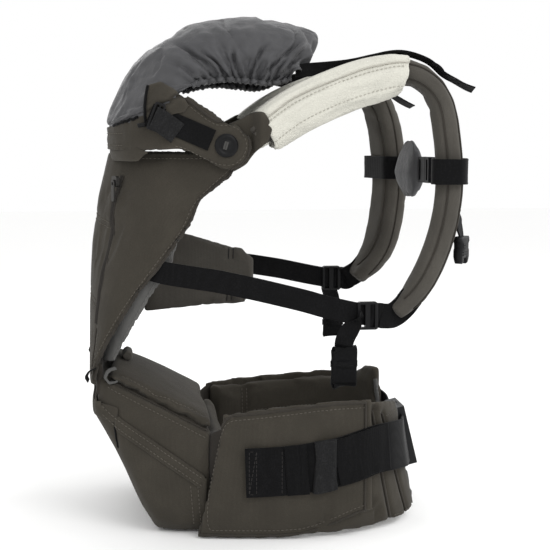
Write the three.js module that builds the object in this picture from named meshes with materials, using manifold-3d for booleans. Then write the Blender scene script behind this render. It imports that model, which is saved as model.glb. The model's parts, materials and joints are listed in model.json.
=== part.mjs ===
// Hip-seat baby carrier: a padded waist belt with a wedge seat, a front body panel, a headrest with a hood,
// and two padded shoulder straps. Millimetres, +Z up, the wearer stands on the +Y side facing -Y.
import * as THREE from 'three';
import { mergeVertices } from 'three/addons/utils/BufferGeometryUtils.js';
import Module from 'manifold-3d';

const wasm = await Module();
wasm.setup();

// ---- driving dimensions ----
const GAP = 0.4;                 // space between touching pieces

const SEAT_FRONT = -205;         // seat lip
const SEAT_BACK = -84;           // wall against the wearer
const SEAT_TOP_FRONT = 186;      // the seat top falls towards the wearer
const SEAT_TOP_BACK = 127;
const SEAT_CROWN = 9;            // how far the cushion domes up in the middle
const SEAT_HALF_FRONT = 84;
const SEAT_HALF_BACK = 112;
const SEAT_CHIN_Y = -141;        // where the sloping front meets the flat base
const SEAT_COVER = 3;            // fabric and its light foam backing
const SEAT_PAD = 9;              // non-slip cushion on the seat

const BELT_HEIGHT = 142;
const BELT_START = -72;          // front seam of the wings
const BELT_SEAM_SLANT = 30;      // the front seam runs forward towards the base
const BELT_HALF = 138;           // outer half width of the belt
const BELT_FOAM = 11;
const BELT_COVER = 4;
const BELT_REAR_X = 62;          // where each padded wing stops at the back
const BELT_REAR = { left: 131, right: 140 };
const BELT_FLARE = 26;           // the belt leans outwards at its lower rear edge
const WIDE_WEBBING = 55;         // elastic waist webbing
const WEBBING = 25;              // adjuster webbing

const PANEL_TOP = 424;
const PANEL_BOTTOM = 168;
const PANEL_HALF = 105;
const PANEL_THICK = 5;
const LINER_THICK = 6;
const LINER_REACH = 21;          // the liner stands past the shell along the leg openings

const STRAP_WIDTH = 62;
const STRAP_THICK = 26;
const SLEEVE_WALL = 5;
const WEB_THICK = 2;

const group = new THREE.Group();

// ---- colours ----
const SHELL = 0x433e36;
const SHELL_DARK = 0x35312b;
const LINER = 0x6d6c69;
const HOOD = 0x4d4d4f;
const WEB = 0x1b1b1c;
const PLASTIC = 0x141415;
const CREAM = 0xe6e5dc;
const METAL = 0x8c8c8e;
const FOAM = 0x2c2c2c;

// ---- helpers ----
const vec = (x, y, z) => new THREE.Vector3(x, y, z);
const mix = (a, b, t) => a + (b - a) * t;
const ease = (t) => t * t * (3 - 2 * t);
const clamp01 = (t) => Math.min(1, Math.max(0, t));

function add(name, geometry, colour, roughness = 0.9, metalness = 0) {
  const material = new THREE.MeshStandardMaterial({ color: colour, roughness, metalness });
  const mesh = new THREE.Mesh(geometry, material);
  mesh.name = name;
  group.add(mesh);
  return mesh;
}

// Keeps only positions, shares the vertices and turns the faces outwards.
function solid(geometry) {
  geometry.deleteAttribute('normal');
  geometry.deleteAttribute('uv');
  const merged = mergeVertices(geometry, 1e-4);
  const p = merged.attributes.position;
  const index = Array.from(merged.index.array);
  const a = new THREE.Vector3();
  const b = new THREE.Vector3();
  const c = new THREE.Vector3();
  let volume = 0;
  const faces = [];
  for (let i = 0; i < index.length; i += 3) {
    const [i0, i1, i2] = [index[i], index[i + 1], index[i + 2]];
    if (i0 === i1 || i1 === i2 || i0 === i2) continue;
    faces.push(i0, i1, i2);
    a.fromBufferAttribute(p, i0);
    b.fromBufferAttribute(p, i1);
    c.fromBufferAttribute(p, i2);
    volume += a.dot(b.cross(c));
  }
  if (volume < 0) {
    for (let i = 0; i < faces.length; i += 3) [faces[i + 1], faces[i + 2]] = [faces[i + 2], faces[i + 1]];
  }
  merged.setIndex(faces);
  return merged;
}

function fromTriangles(points, faces) {
  const geometry = new THREE.BufferGeometry();
  const flatPoints = points.flatMap((p) => [p.x, p.y, p.z]);
  geometry.setAttribute('position', new THREE.Float32BufferAttribute(flatPoints, 3));
  geometry.setIndex(faces);
  return solid(geometry);
}

// A sheet of cloth or foam with a thickness: outer(u, v) is its outside face, u and v run from 0 to 1.
function thickSheet(outer, across, along, thickness) {
  const points = [];
  const step = 1e-3;
  const faces = [];
  const row = along + 1;
  const layer = (across + 1) * row;
  const inner = [];
  for (let i = 0; i <= across; i++) {
    for (let j = 0; j <= along; j++) {
      const u = i / across;
      const v = j / along;
      const p = outer(u, v);
      const du = outer(Math.min(1, u + step), v).sub(outer(Math.max(0, u - step), v));
      const dv = outer(u, Math.min(1, v + step)).sub(outer(u, Math.max(0, v - step)));
      const t = typeof thickness === 'function' ? thickness(u, v) : thickness;
      points.push(p);
      inner.push(p.clone().addScaledVector(du.cross(dv).normalize(), -t));
    }
  }
  points.push(...inner);
  const quad = (a, b, c, d) => faces.push(a, b, c, a, c, d);
  for (let i = 0; i < across; i++) {
    for (let j = 0; j < along; j++) {
      const k = i * row + j;
      quad(k, k + row, k + row + 1, k + 1);
      quad(layer + k, layer + k + 1, layer + k + row + 1, layer + k + row);
    }
  }
  for (let i = 0; i < across; i++) {
    const k = i * row;
    const m = k + along;
    quad(k, layer + k, layer + k + row, k + row);
    quad(m, m + row, layer + m + row, layer + m);
  }
  for (let j = 0; j < along; j++) {
    const m = across * row + j;
    quad(j, j + 1, layer + j + 1, layer + j);
    quad(m, layer + m, layer + m + 1, m + 1);
  }
  return fromTriangles(points, faces);
}

// Joins rings of equal point count into a closed body with flat ends.
function loft(rings) {
  const points = rings.flat();
  const faces = [];
  const n = rings[0].length;
  for (let r = 0; r + 1 < rings.length; r++) {
    for (let i = 0; i < n; i++) {
      const a = r * n + i;
      const b = r * n + ((i + 1) % n);
      faces.push(a, b, b + n, a, b + n, a + n);
    }
  }
  const cap = (ring, start, flip) => {
    const centre = ring.reduce((s, p) => s.add(p), vec(0, 0, 0)).divideScalar(n);
    points.push(centre);
    const c = points.length - 1;
    for (let i = 0; i < n; i++) {
      const a = start + i;
      const b = start + ((i + 1) % n);
      faces.push(...(flip ? [c, b, a] : [c, a, b]));
    }
  };
  cap(rings[0], 0, true);
  cap(rings[rings.length - 1], (rings.length - 1) * n, false);
  return fromTriangles(points, faces);
}

// Joins outer and inner rings into an open-ended tube wall.
function tubeWall(outer, inner) {
  const points = [...outer.flat(), ...inner.flat()];
  const faces = [];
  const n = outer[0].length;
  const shift = outer.length * n;
  const last = (outer.length - 1) * n;
  for (let r = 0; r + 1 < outer.length; r++) {
    for (let i = 0; i < n; i++) {
      const a = r * n + i;
      const b = r * n + ((i + 1) % n);
      faces.push(a, b, b + n, a, b + n, a + n);
      faces.push(shift + a, shift + b + n, shift + b, shift + a, shift + a + n, shift + b + n);
    }
  }
  for (let i = 0; i < n; i++) {
    const j = (i + 1) % n;
    faces.push(i, shift + i, shift + j, i, shift + j, j);
    faces.push(last + i, last + j, shift + last + j, last + i, shift + last + j, shift + last + i);
  }
  return fromTriangles(points, faces);
}

// Rounded rectangle section: [width, thickness] coordinates.
function pill(width, thick, corner = 0.8) {
  const w = width / 2;
  const t = thick / 2;
  const r = Math.min(w, t) * corner;
  const c = r * 0.3;
  return [[w, t - r], [w - c, t - c], [w - r, t], [-w + r, t], [-w + c, t - c], [-w, t - r],
    [-w, -t + r], [-w + c, -t + c], [-w + r, -t], [w - r, -t], [w - c, -t + c], [w, -t + r]];
}
const flat = (width, thick) => [[width / 2, thick / 2], [-width / 2, thick / 2],
  [-width / 2, -thick / 2], [width / 2, -thick / 2]];

// Section rings along a smooth path; widthAt(t) points along the section's width.
function rings(path, widthAt, sectionAt, steps, from = 0, to = 1) {
  const curve = new THREE.CatmullRomCurve3(path, false, 'centripetal');
  const list = [];
  for (let i = 0; i <= steps; i++) {
    const t = mix(from, to, i / steps);
    const p = curve.getPointAt(t);
    const along = curve.getTangentAt(t);
    const width = widthAt(t).clone();
    width.addScaledVector(along, -width.dot(along)).normalize();
    const normal = vec(0, 0, 0).crossVectors(along, width).normalize();
    const section = sectionAt(i / steps);
    list.push(section.map(([w, n]) => p.clone().addScaledVector(width, w).addScaledVector(normal, n)));
  }
  return list;
}
const sweep = (path, widthAt, section, steps, from, to) =>
  loft(rings(path, widthAt, () => section, steps, from, to));

function box(x0, x1, y0, y1, z0, z1) {
  const geometry = new THREE.BoxGeometry(x1 - x0, y1 - y0, z1 - z0);
  geometry.translate((x0 + x1) / 2, (y0 + y1) / 2, (z0 + z1) / 2);
  return solid(geometry);
}

function toManifold(geometry) {
  return new wasm.Manifold(new wasm.Mesh({
    numProp: 3,
    vertProperties: new Float32Array(geometry.attributes.position.array),
    triVerts: new Uint32Array(geometry.index.array),
  }));
}
function fromManifold(shape) {
  const mesh = shape.getMesh();
  const geometry = new THREE.BufferGeometry();
  geometry.setAttribute('position', new THREE.BufferAttribute(new Float32Array(mesh.vertProperties), 3));
  geometry.setIndex(Array.from(mesh.triVerts));
  return solid(geometry);
}
function cut(base, ...tools) {
  let shape = toManifold(base);
  for (const tool of tools) shape = shape.subtract(toManifold(tool));
  return fromManifold(shape);
}
function join(base, ...others) {
  let shape = toManifold(base);
  for (const other of others) shape = shape.add(toManifold(other));
  return fromManifold(shape);
}

// A plate with rounded corners and optional square windows, thickness centred on the local Z plane.
function plate(width, height, thick, corner, windows = []) {
  const shape = new THREE.Shape();
  const [w, h, r] = [width / 2, height / 2, corner];
  shape.moveTo(-w + r, -h);
  shape.lineTo(w - r, -h);
  shape.absarc(w - r, -h + r, r, -Math.PI / 2, 0);
  shape.lineTo(w, h - r);
  shape.absarc(w - r, h - r, r, 0, Math.PI / 2);
  shape.lineTo(-w + r, h);
  shape.absarc(-w + r, h - r, r, Math.PI / 2, Math.PI);
  shape.lineTo(-w, -h + r);
  shape.absarc(-w + r, -h + r, r, Math.PI, Math.PI * 1.5);
  const geometry = new THREE.ExtrudeGeometry(shape, { depth: thick, bevelEnabled: false, curveSegments: 3 });
  geometry.translate(0, 0, -thick / 2);
  const blank = solid(geometry);
  const tools = windows.map(([x0, x1, y0, y1]) => box(x0, x1, y0, y1, -thick, thick));
  return windows.length ? cut(blank, ...tools) : blank;
}

const mirrorX = (side) => (side === 'left' ? 1 : -1);
const SIDES = ['left', 'right'];

// ---- seat ----
// Front to back stations of the wedge; grow swells the outline for the cover, top lifts the roof.
function seatSection(y, grow, top) {
  const t = (y - SEAT_FRONT) / (SEAT_BACK - SEAT_FRONT);
  const half = mix(SEAT_HALF_FRONT, SEAT_HALF_BACK, Math.sqrt(clamp01(t))) + grow;
  const foam = mix(SEAT_TOP_FRONT, SEAT_TOP_BACK, t) - SEAT_PAD;
  const roof = foam + top;
  const chin = clamp01((SEAT_CHIN_Y - y) / (SEAT_CHIN_Y - SEAT_FRONT));
  const floor = 3.6 + 134 * Math.pow(chin, 1.25) - grow;
  const r = Math.min(26, (foam - floor - grow) * 0.3) + grow;
  const ring = [vec(half, y, roof), vec(-half, y, roof)];
  for (const [sx, a0] of [[-1, Math.PI], [1, Math.PI * 1.5]]) {
    for (let i = 0; i <= 3; i++) {
      const a = a0 + (i / 3) * (Math.PI / 2);
      ring.push(vec(sx * (half - r) + r * Math.cos(a), y, floor + r + r * Math.sin(a)));
    }
  }
  return ring;
}
const stations = (from, to, count) => Array.from({ length: count + 1 }, (_, i) => mix(from, to, i / count));
// The whole wedge swollen by grow; its front face moves out as far, its rear face by back.
function wedge(grow, top, back) {
  const list = stations(SEAT_FRONT, SEAT_BACK, 8).map((y) => seatSection(y, grow, top));
  list[0].forEach((p) => p.setY(SEAT_FRONT - grow));
  if (back) list.push(list[list.length - 1].map((p) => p.clone().setY(SEAT_BACK + back)));
  return loft(list);
}
const slice = box(-200, 200, -300, 0, -40, 3.2);
const coverGrow = SEAT_COVER + GAP;
const pocketGrow = coverGrow + SEAT_COVER + GAP;

add('seat_foam_core', wedge(0, 0, 0), FOAM, 0.95);
// Fabric boot around the sides, the front lip and the sloping underside of the foam.
add('seat_cover', cut(wedge(coverGrow, 0, 0), wedge(GAP, 20, 9), slice), SHELL);

// Front pocket: a second skin that covers the lower part of the boot, its hem falling towards the belt.
function pocketAbove() {
  const hem = [[-230, 168], [-190, 133], [-152, 107], [-60, 42], [-60, 260], [-230, 260]];
  const outline = new THREE.Shape(hem.map(([y, z]) => new THREE.Vector2(y, z)));
  const geometry = new THREE.ExtrudeGeometry(outline, { depth: 300, bevelEnabled: false });
  geometry.applyMatrix4(new THREE.Matrix4().makeBasis(vec(0, 1, 0), vec(0, 0, 1), vec(1, 0, 0)));
  geometry.translate(-150, 0, 0);
  return solid(geometry);
}
add('seat_front_pocket', cut(wedge(pocketGrow, 0, 0), wedge(coverGrow + GAP, 20, 9), slice, pocketAbove(),
  box(-200, 200, SEAT_BACK - 6, 0, -9, 300)), SHELL);

add('seat_base_board', box(-84, 84, -128, SEAT_BACK, 0, 2.8), SHELL_DARK, 0.7);

// Crowned non-slip cushion over the foam.
function cushionSection(y, round) {
  const t = (y - SEAT_FRONT) / (SEAT_BACK - SEAT_FRONT);
  const half = mix(SEAT_HALF_FRONT, SEAT_HALF_BACK, Math.sqrt(clamp01(t))) + 1 - round;
  const low = mix(SEAT_TOP_FRONT, SEAT_TOP_BACK, t) - SEAT_PAD + GAP;
  const crown = SEAT_CROWN * Math.sin(Math.PI * clamp01(t * 0.9 + 0.08));
  const ring = [vec(-half, y, low), vec(half, y, low)];
  for (let i = 0; i <= 8; i++) {
    const u = 1 - i / 4;
    ring.push(vec(half * u, y, low + (SEAT_PAD - round) * 0.55
      + ((SEAT_PAD - round) * 0.45 + crown) * (1 - Math.abs(u) ** 2.6)));
  }
  return ring;
}
const cushionStations = [[SEAT_FRONT + 5, 5], [SEAT_FRONT + 9, 1],
  ...stations(SEAT_FRONT + 24, SEAT_BACK - 4, 4).map((y) => [y, 0]), [SEAT_BACK, 2]];
add('seat_cushion', loft(cushionStations.map(([y, round]) => cushionSection(y, round))), SHELL);

// Padded wall between the seat and the wearer's stomach.
add('lumbar_pad', sweep([vec(-SEAT_HALF_BACK + 8, SEAT_BACK + 7, 66), vec(0, SEAT_BACK + 7.5, 66),
  vec(SEAT_HALF_BACK - 8, SEAT_BACK + 7, 66)], () => vec(0, 0, 1), pill(118, 12), 8), SHELL_DARK);

// ---- waist belt ----
// Centre line of one wing in plan; rear is how far back it reaches.
function wingPath(side, out, endX) {
  const s = mirrorX(side);
  const rear = BELT_REAR[side];
  const half = BELT_HALF + out;
  const plan = [[half - 13, BELT_START], [half - 4, BELT_START + 40], [half, 10], [half - 2, 55],
    [half - 13, 94 + out], [endX ? endX + 34 : 96, rear - 14 + out * 0.8], [endX ?? BELT_REAR_X, rear + out]];
  return plan.map(([x, y]) => vec(s * x, y, 0));
}
// A wall that follows the wing, leaning outwards lower down towards the rear.
function wingWall(side, out, thick, from, to, low, high, steps) {
  const curve = new THREE.CatmullRomCurve3(wingPath(side, out), false, 'centripetal');
  const s = mirrorX(side);
  const surface = (u, v) => {
    const t = mix(from, to, u);
    const p = curve.getPointAt(t);
    const z0 = low(t);
    const z1 = high(t);
    const lead = out ? BELT_SEAM_SLANT * clamp01(1 - t * 6) * (1 - clamp01(mix(z0, z1, v) / BELT_HEIGHT)) : 0;
    const flare = BELT_FLARE * ease(clamp01((t - 0.55) / 0.45)) * (1 - clamp01(mix(z0, z1, v) / BELT_HEIGHT));
    return vec(p.x, p.y + flare - lead, mix(z0, z1, v));
  };
  return thickSheet(s > 0 ? surface : (u, v) => surface(1 - u, v), steps, 5, thick);
}
// The left wing is arched along its top edge, the right one climbs steadily to the rear.
const WING_TOP = {
  left: (t) => BELT_HEIGHT - 3 + 14 * Math.sin(Math.PI * clamp01(t * 0.8)) - 8 * clamp01((t - 0.7) / 0.3),
  right: (t) => BELT_HEIGHT - 18 + 18 * Math.pow(t, 0.8) + 14 * ease(clamp01((t - 0.72) / 0.2)),
};
for (const side of SIDES) {
  add(`belt_wing_pad_${side}`, wingWall(side, 0, BELT_FOAM, 0, 1,
    (t) => 9 * ease(clamp01((t - 0.45) / 0.55)), (t) => WING_TOP[side](t) - 3, 16), SHELL);
}
const coverLow = (t) => 2 + 26 * ease(clamp01((t - 0.3) / 0.4));
for (const side of SIDES) {
  add(`belt_outer_cover_${side}`, wingWall(side, BELT_COVER + GAP, BELT_COVER, 0, 0.66, coverLow,
    WING_TOP[side], 10), SHELL);
}

// Elastic waist webbing, sewn at its front end and led round the wing to the buckle.
function waistWebbing(side) {
  const s = mirrorX(side);
  const out = BELT_COVER + GAP + 3.2;
  const half = BELT_HALF + out;
  const rear = BELT_REAR[side];
  const path = [[half - 3, -50, 76], [half, 10, 79], [half - 1.5, 55, 86], [half - 12, 97, 96],
    [104, rear + 3, 95], [66, rear + 14, 88], [38, 153, 84]];
  return sweep(path.map(([x, y, z]) => vec(s * x, y, z)), (t) => vec(0, -0.16 * ease(t), 1), 
    flat(WIDE_WEBBING, WEB_THICK), 16);
}
for (const side of SIDES) add(`waist_webbing_${side}`, waistWebbing(side), WEB, 0.85);

// Doubled end of the webbing held by its keeper.
for (const side of SIDES) {
  const s = mirrorX(side);
  const x = BELT_HALF + BELT_COVER + GAP + 3.2;
  add(`waist_webbing_keeper_${side}`, sweep([vec(s * (x + 3.2), 24, 80.5), vec(s * (x + 3), 38, 82),
    vec(s * (x + 2.5), 50, 84.5)], () => vec(0, 0.06, 1), flat(59, 3.2), 4), 0x2a2a2b, 0.85);
}

// ---- body panel ----
// A value read off a short list of [height, value] design points.
function profile(points, z) {
  for (let i = 1; i < points.length; i++) {
    const [z0, a] = points[i - 1];
    const [z1, b] = points[i];
    const t = clamp01((z - z0) / (z1 - z0));
    if (z <= z1) return mix(a, b, ease(t) * 0.35 + 0.65 * t);
  }
  return points[points.length - 1][1];
}
const PANEL_FRONT_LINE = [[168, -218], [240, -217], [311, -214], [369, -206], [424, -193]];
const LEG_EDGE_LINE = [[168, -215], [186, -212], [199, -205], [221, -194], [258, -172], [306, -136],
  [342, -107],
  [372, -96], [411, -50], [424, -46]];
const PANEL_HALF_LINE = [[168, 88], [260, 101], [330, PANEL_HALF], [424, 101]];

// Wrapping wall of the panel at height z; a runs from +1 (left leg edge) to -1, inset moves it inwards.
function panelPoint(a, z, inset, reach) {
  const half = profile(PANEL_HALF_LINE, z) - inset;
  const front = profile(PANEL_FRONT_LINE, z) + inset;
  const edge = profile(LEG_EDGE_LINE, z) + reach;
  const angle = (a * Math.PI) / 2;
  const sx = Math.pow(Math.abs(Math.sin(angle)), 0.85) * Math.sign(a);
  const cy = Math.pow(Math.max(0, Math.cos(angle)), 0.9);
  return vec(half * sx, edge - (edge - front) * cy, z);
}
add('body_panel_shell', thickSheet((u, v) => panelPoint(2 * u - 1, mix(PANEL_BOTTOM, PANEL_TOP, v), 0, 0),
  18, 10, PANEL_THICK), SHELL);

// Soft lining; it stands past the shell along the lower leg openings.
const linerReach = (z) => LINER_REACH * (1 - ease(clamp01((z - 280) / 70)));
add('body_panel_liner', thickSheet((u, v) => {
  const z = mix(PANEL_BOTTOM + 24, PANEL_TOP - 8, v);
  return panelPoint(2 * u - 1, z, 8, linerReach(z) - 2);
}, 16, 9, LINER_THICK), LINER);

// Short cloth roll at the foot of the panel, on the seat lip.
add('panel_foot_roll', sweep([vec(-6, -176, 189), vec(12, -176, 189.3), vec(30, -176, 189)],
  () => vec(0, 1, 0), pill(13, 13, 1), 4), LINER);

// Ventilation zip on the left front corner.
const ZIP = { top: 400, bend: 300, foot: 232, slider: 393, wide: 11, stand: 3.4, lift: 2.2, travel: 350 };
const SLIDER = { wide: 9, tall: 12, thick: 4, out: 5 };
const PULL = { wide: 5, tall: 24, thick: 1.6, out: 8.4, drop: 10 };
function zipWall(z) {
  const across = mix(62, 74, (ZIP.top - z) / (ZIP.top - ZIP.foot));
  const a = Math.asin(Math.pow(across / profile(PANEL_HALF_LINE, z), 1 / 0.85)) / (Math.PI / 2);
  const point = panelPoint(a, z, 0, 0);
  const face = panelPoint(a - 0.04, z, 0, 0).sub(panelPoint(a + 0.04, z, 0, 0)).setZ(0).normalize();
  return { point, face, out: vec(-face.y, face.x, 0) };
}
// The tape is straight above the bend, where the slider runs, and follows the panel below it.
function zipFrame(z) {
  const { face, out } = zipWall(z > ZIP.bend ? ZIP.travel : z);
  const onLine = (height, stand) => zipWall(height).point.addScaledVector(out, stand);
  if (z <= ZIP.bend) return { point: onLine(z, ZIP.stand), face, out };
  const t = (z - ZIP.bend) / (ZIP.top - ZIP.bend);
  return { point: onLine(ZIP.bend, ZIP.stand).lerp(onLine(ZIP.top, ZIP.stand + ZIP.lift), t), face, out };
}
const zipSpots = [ZIP.top, ZIP.bend, mix(ZIP.bend, ZIP.foot, 0.5), ZIP.foot].map((z) => zipFrame(z));
add('panel_zip_tape', loft(zipSpots.map(({ point, face, out }) => flat(ZIP.wide, 1.6)
  .map(([w, n]) => point.clone().addScaledVector(face, w).addScaledVector(out, n)))), WEB, 0.8);
function onZip(geometry, offset, z) {
  const { point, face, out } = zipFrame(ZIP.slider);
  const up = vec(0, 0, 1);
  geometry.applyMatrix4(new THREE.Matrix4().makeBasis(face, up, vec(0, 0, 0).crossVectors(face, up)));
  geometry.translate(point.x + out.x * offset, point.y + out.y * offset, z);
  return solid(geometry);
}
add('panel_zip_slider', onZip(plate(SLIDER.wide, SLIDER.tall, SLIDER.thick, 2), SLIDER.out, ZIP.slider),
  METAL, 0.4, 0.8);
add('panel_zip_pull', onZip(plate(PULL.wide, PULL.tall, PULL.thick, 2, [[-1.2, 1.2, 6, 9.5]]), PULL.out,
  ZIP.slider - PULL.drop), METAL, 0.4, 0.8);

// Leg pads: the right one lies along the webbing, the left one is tucked in against the lining.
const LEG_PAD = { length: 132, thick: 11, front: -147, low: [228, 229], high: [341, 299] };
function rightPad(u, v) {
  const [low, high] = [mix(...LEG_PAD.low, u), mix(...LEG_PAD.high, u)];
  const round = 1 - 0.3 * Math.pow(clamp01((u - 0.86) / 0.14), 2);
  const y = LEG_PAD.front + u * LEG_PAD.length;
  return vec(-84 - 21 * ease(u), y, mix(low, high, 0.5 + (v - 0.5) * round));
}
add('leg_pad_right', thickSheet(rightPad, 10, 4, -LEG_PAD.thick), SHELL);
const leftPad = (u, v) => panelPoint(mix(-0.3, 0.68, u), mix(276, 362, v), 20, 0);
add('leg_pad_left', thickSheet(leftPad, 8, 4, LEG_PAD.thick - 1), SHELL);

// ---- headrest ----
const HEADREST_HALF = 111;
const HEADREST_THICK = 5;
const TAB = { y: -67, z: 433, r: 27 };
// Seam where the hood leaves the headrest: low across the front, rising along the sides.
function hoodSeam(a, lift) {
  const angle = (a * Math.PI) / 2;
  const c = Math.cos(angle);
  const x = HEADREST_HALF * Math.pow(Math.abs(Math.sin(angle)), 0.72) * Math.sign(a);
  return vec(x, -118 - 76 * Math.pow(Math.max(0, c), 0.8), 492 - 36 * Math.pow(Math.max(0, c), 0.55) + lift);
}
function headrest(u, v) {
  const tabPart = 0.2;
  let x;
  let y;
  let low;
  let high;
  const side = u < tabPart ? 1 : u > 1 - tabPart ? -1 : 0;
  if (side) {
    const t = (side > 0 ? u : 1 - u) / tabPart;
    x = side * HEADREST_HALF;
    y = mix(TAB.y + TAB.r - 0.6, -118, Math.pow(t, 0.9));
    const reach = Math.sqrt(Math.max(36, TAB.r ** 2 - Math.max(0, y - TAB.y) ** 2));
    const k = clamp01((TAB.y - y) / 51);
    low = mix(TAB.z - reach, 427, ease(k));
    high = y > TAB.y ? TAB.z + reach : mix(TAB.z + TAB.r, 490, Math.pow(k, 0.8));
  } else {
    const p = hoodSeam(1 - (2 * (u - tabPart)) / (1 - 2 * tabPart), -2);
    x = p.x;
    y = p.y;
    low = 427;
    high = p.z;
  }
  return vec(x, y, mix(low, high, v));
}
add('headrest', thickSheet((u, v) => headrest(1 - u, v), 34, 3, HEADREST_THICK), SHELL);

// ---- hood ----
const HOOD_TOP = [[-194, 458], [-192, 474], [-176, 509], [-160, 536], [-134, 556], [-107, 570], [-67, 578],
  [-11, 580], [12, 577], [44, 561], [38, 544], [22, 531]];
const HOOD_SIDE = [[-118, 495], [-94, 501], [-65, 505], [-37, 503], [-12, 501], [6, 506]];
const lineThrough = (points) =>
  new THREE.CatmullRomCurve3(points.map(([y, z]) => vec(0, y, z)), false, 'centripetal');
const hoodTopLine = lineThrough(HOOD_TOP);
const hoodSideLine = lineThrough(HOOD_SIDE);
function hood(u, v) {
  const a = 2 * u - 1;
  const c = Math.cos((a * Math.PI) / 2);
  const top = hoodTopLine.getPointAt(v);
  const edge = hoodSideLine.getPointAt(v);
  const seam = hoodSeam(a, 0);
  const half = mix(HEADREST_HALF, 90, ease(clamp01(v * 2)));
  const arch = vec(half * Math.pow(Math.abs(Math.sin((a * Math.PI) / 2)), 0.72) * Math.sign(a),
    mix(edge.y, top.y, Math.pow(c, 0.8)), mix(edge.z, top.z, Math.pow(c, 0.62)));
  return arch.lerp(seam, Math.pow(1 - clamp01(v * 3), 2));
}
add('hood', thickSheet((u, v) => hood(u, v), 16, 14, 3), HOOD, 0.6);

// ---- shoulder straps ----
// Route of each strap over the shoulder and down the back: [y, z]; the two hang a little differently.
const STRAP_ROUTE = {
  left: [[-30.5, 441.5], [-22, 452], [10, 475], [51, 494], [95, 509], [132, 514], [160, 502], [177, 478],
    [184, 440], [187, 404], [186, 376], [181, 345], [171, 312], [158, 284], [144, 264], [131, 252]],
  right: [[-30.5, 441.5], [-22, 452], [8, 474], [44, 491], [80, 502], [108, 503], [132, 490], [145, 466],
    [152, 436], [156, 404], [157, 376], [154, 345], [148, 316], [138, 293], [127, 279], [120, 272]],
};
const STRAP_X = { base: 84, top: 88, back: 96 };
const STRAP_TURN = -0.27;        // the straps wrap the shoulder blades
const strapPath = (side) => STRAP_ROUTE[side].map(([y, z], i, all) => {
  const t = i / (all.length - 1);
  const overShoulder = mix(STRAP_X.base, STRAP_X.top, t / 0.4);
  const x = t < 0.4 ? overShoulder : mix(STRAP_X.top, STRAP_X.back, clamp01((t - 0.4) / 0.3));
  return vec(mirrorX(side) * x, y, z);
});
const strapWidth = (side) => (t) => vec(1, mirrorX(side) * STRAP_TURN * ease(clamp01((t - 0.3) / 0.2)), 0);
const strapSection = (t) => {
  const narrow = 1 - 0.28 * Math.pow(clamp01((t - 0.86) / 0.14), 2);
  return pill(STRAP_WIDTH * narrow, STRAP_THICK * (0.75 + 0.25 * narrow), 0.9);
};
for (const side of SIDES) {
  add(`shoulder_strap_${side}`, loft(rings(strapPath(side), strapWidth(side), strapSection, 24)), SHELL);
}

// Pale teething pads wrapped round the straps at the baby's mouth.
const SLEEVE = { from: 0.045, to: 0.385, room: 3 };
for (const side of SIDES) {
  const around = (room) => rings(strapPath(side), strapWidth(side),
    () => pill(STRAP_WIDTH + room, STRAP_THICK + room, 0.9), 10, SLEEVE.from, SLEEVE.to);
  const bore = around(SLEEVE.room);
  const skin = around(SLEEVE.room + 2 * SLEEVE_WALL);
  add(`teething_pad_${side}`, tubeWall(skin, bore), CREAM, 0.95);
}

// ---- adjuster webbing from the panel to the strap ends ----
const LOCK_AT = { left: vec(114, 90, 244), right: vec(-114, 87, 261) };
const SIDE_WEB = {
  left: [vec(106, -133, 292.5), vec(112, -75, 284), vec(116, -9, 269), vec(116, 42, 255),
    vec(114, 74.5, 247.3)],
  right: [vec(-112, -14, 280), vec(-115, 20, 274), vec(-115, 48, 268), vec(-114, 73, 263)],
};
for (const side of SIDES) {
  const section = flat(WEBBING, WEB_THICK);
  add(`side_webbing_${side}`, sweep(SIDE_WEB[side], () => vec(0, 0.15, 1), section, 8), WEB, 0.85);
}
const LOCK = { long: 23, tall: 31, thick: 8, windows: [[-8.5, -3, -13, 13], [2.5, 8, -13, 13]] };
for (const side of SIDES) {
  const lock = plate(LOCK.long, LOCK.tall, LOCK.thick, 3, LOCK.windows);
  lock.applyMatrix4(new THREE.Matrix4().makeBasis(vec(0, 1, 0), vec(0, 0, 1), vec(1, 0, 0)));
  lock.translate(LOCK_AT[side].x, LOCK_AT[side].y, LOCK_AT[side].z);
  add(`ladder_lock_${side}`, solid(lock), PLASTIC, 0.5);
}
// Short sewn loop between the lock and the strap end.
for (const side of SIDES) {
  const s = mirrorX(side);
  const [endY, endZ] = STRAP_ROUTE[side][STRAP_ROUTE[side].length - 1];
  const lock = LOCK_AT[side];
  const path = [vec(lock.x, lock.y + 13.5, lock.z), vec(lock.x - s * 2, lock.y + 18, lock.z),
    vec(s * 105, endY - 10, endZ - 7)];
  add(`strap_end_loop_${side}`, sweep(path, () => vec(0, 0, 1), pill(31, 6, 0.7), 4), WEB, 0.85);
}
// Free ends of the webbing, rolled up and held by an elastic.
const TAIL = {
  left: { path: [vec(118, 74, 235), vec(121, 66, 226), vec(119, 62, 216), vec(118, 63, 210.5)],
    roll: [118, 63, 188], wide: 31, tall: 40 },
  right: { path: [vec(-118, 84, 239), vec(-121, 90, 231), vec(-119, 91, 224), vec(-118, 90, 216.5)],
    roll: [-118, 90, 200], wide: 27, tall: 28 },
};
for (const side of SIDES) {
  const { path, roll, wide, tall } = TAIL[side];
  const twist = (t) => vec(0.25, mix(0.5, 1, t), mix(0.8, 0, t));
  add(`webbing_tail_${side}`, sweep(path, twist, flat(20, 2.4), 6), WEB, 0.85);
  const coil = plate(wide, tall, 11, 5);
  coil.applyMatrix4(new THREE.Matrix4().makeBasis(vec(0, 1, 0), vec(0, 0, 1), vec(1, 0, 0)));
  coil.translate(...roll);
  add(`rolled_webbing_${side}`, solid(coil), WEB, 0.85);
}

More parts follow.
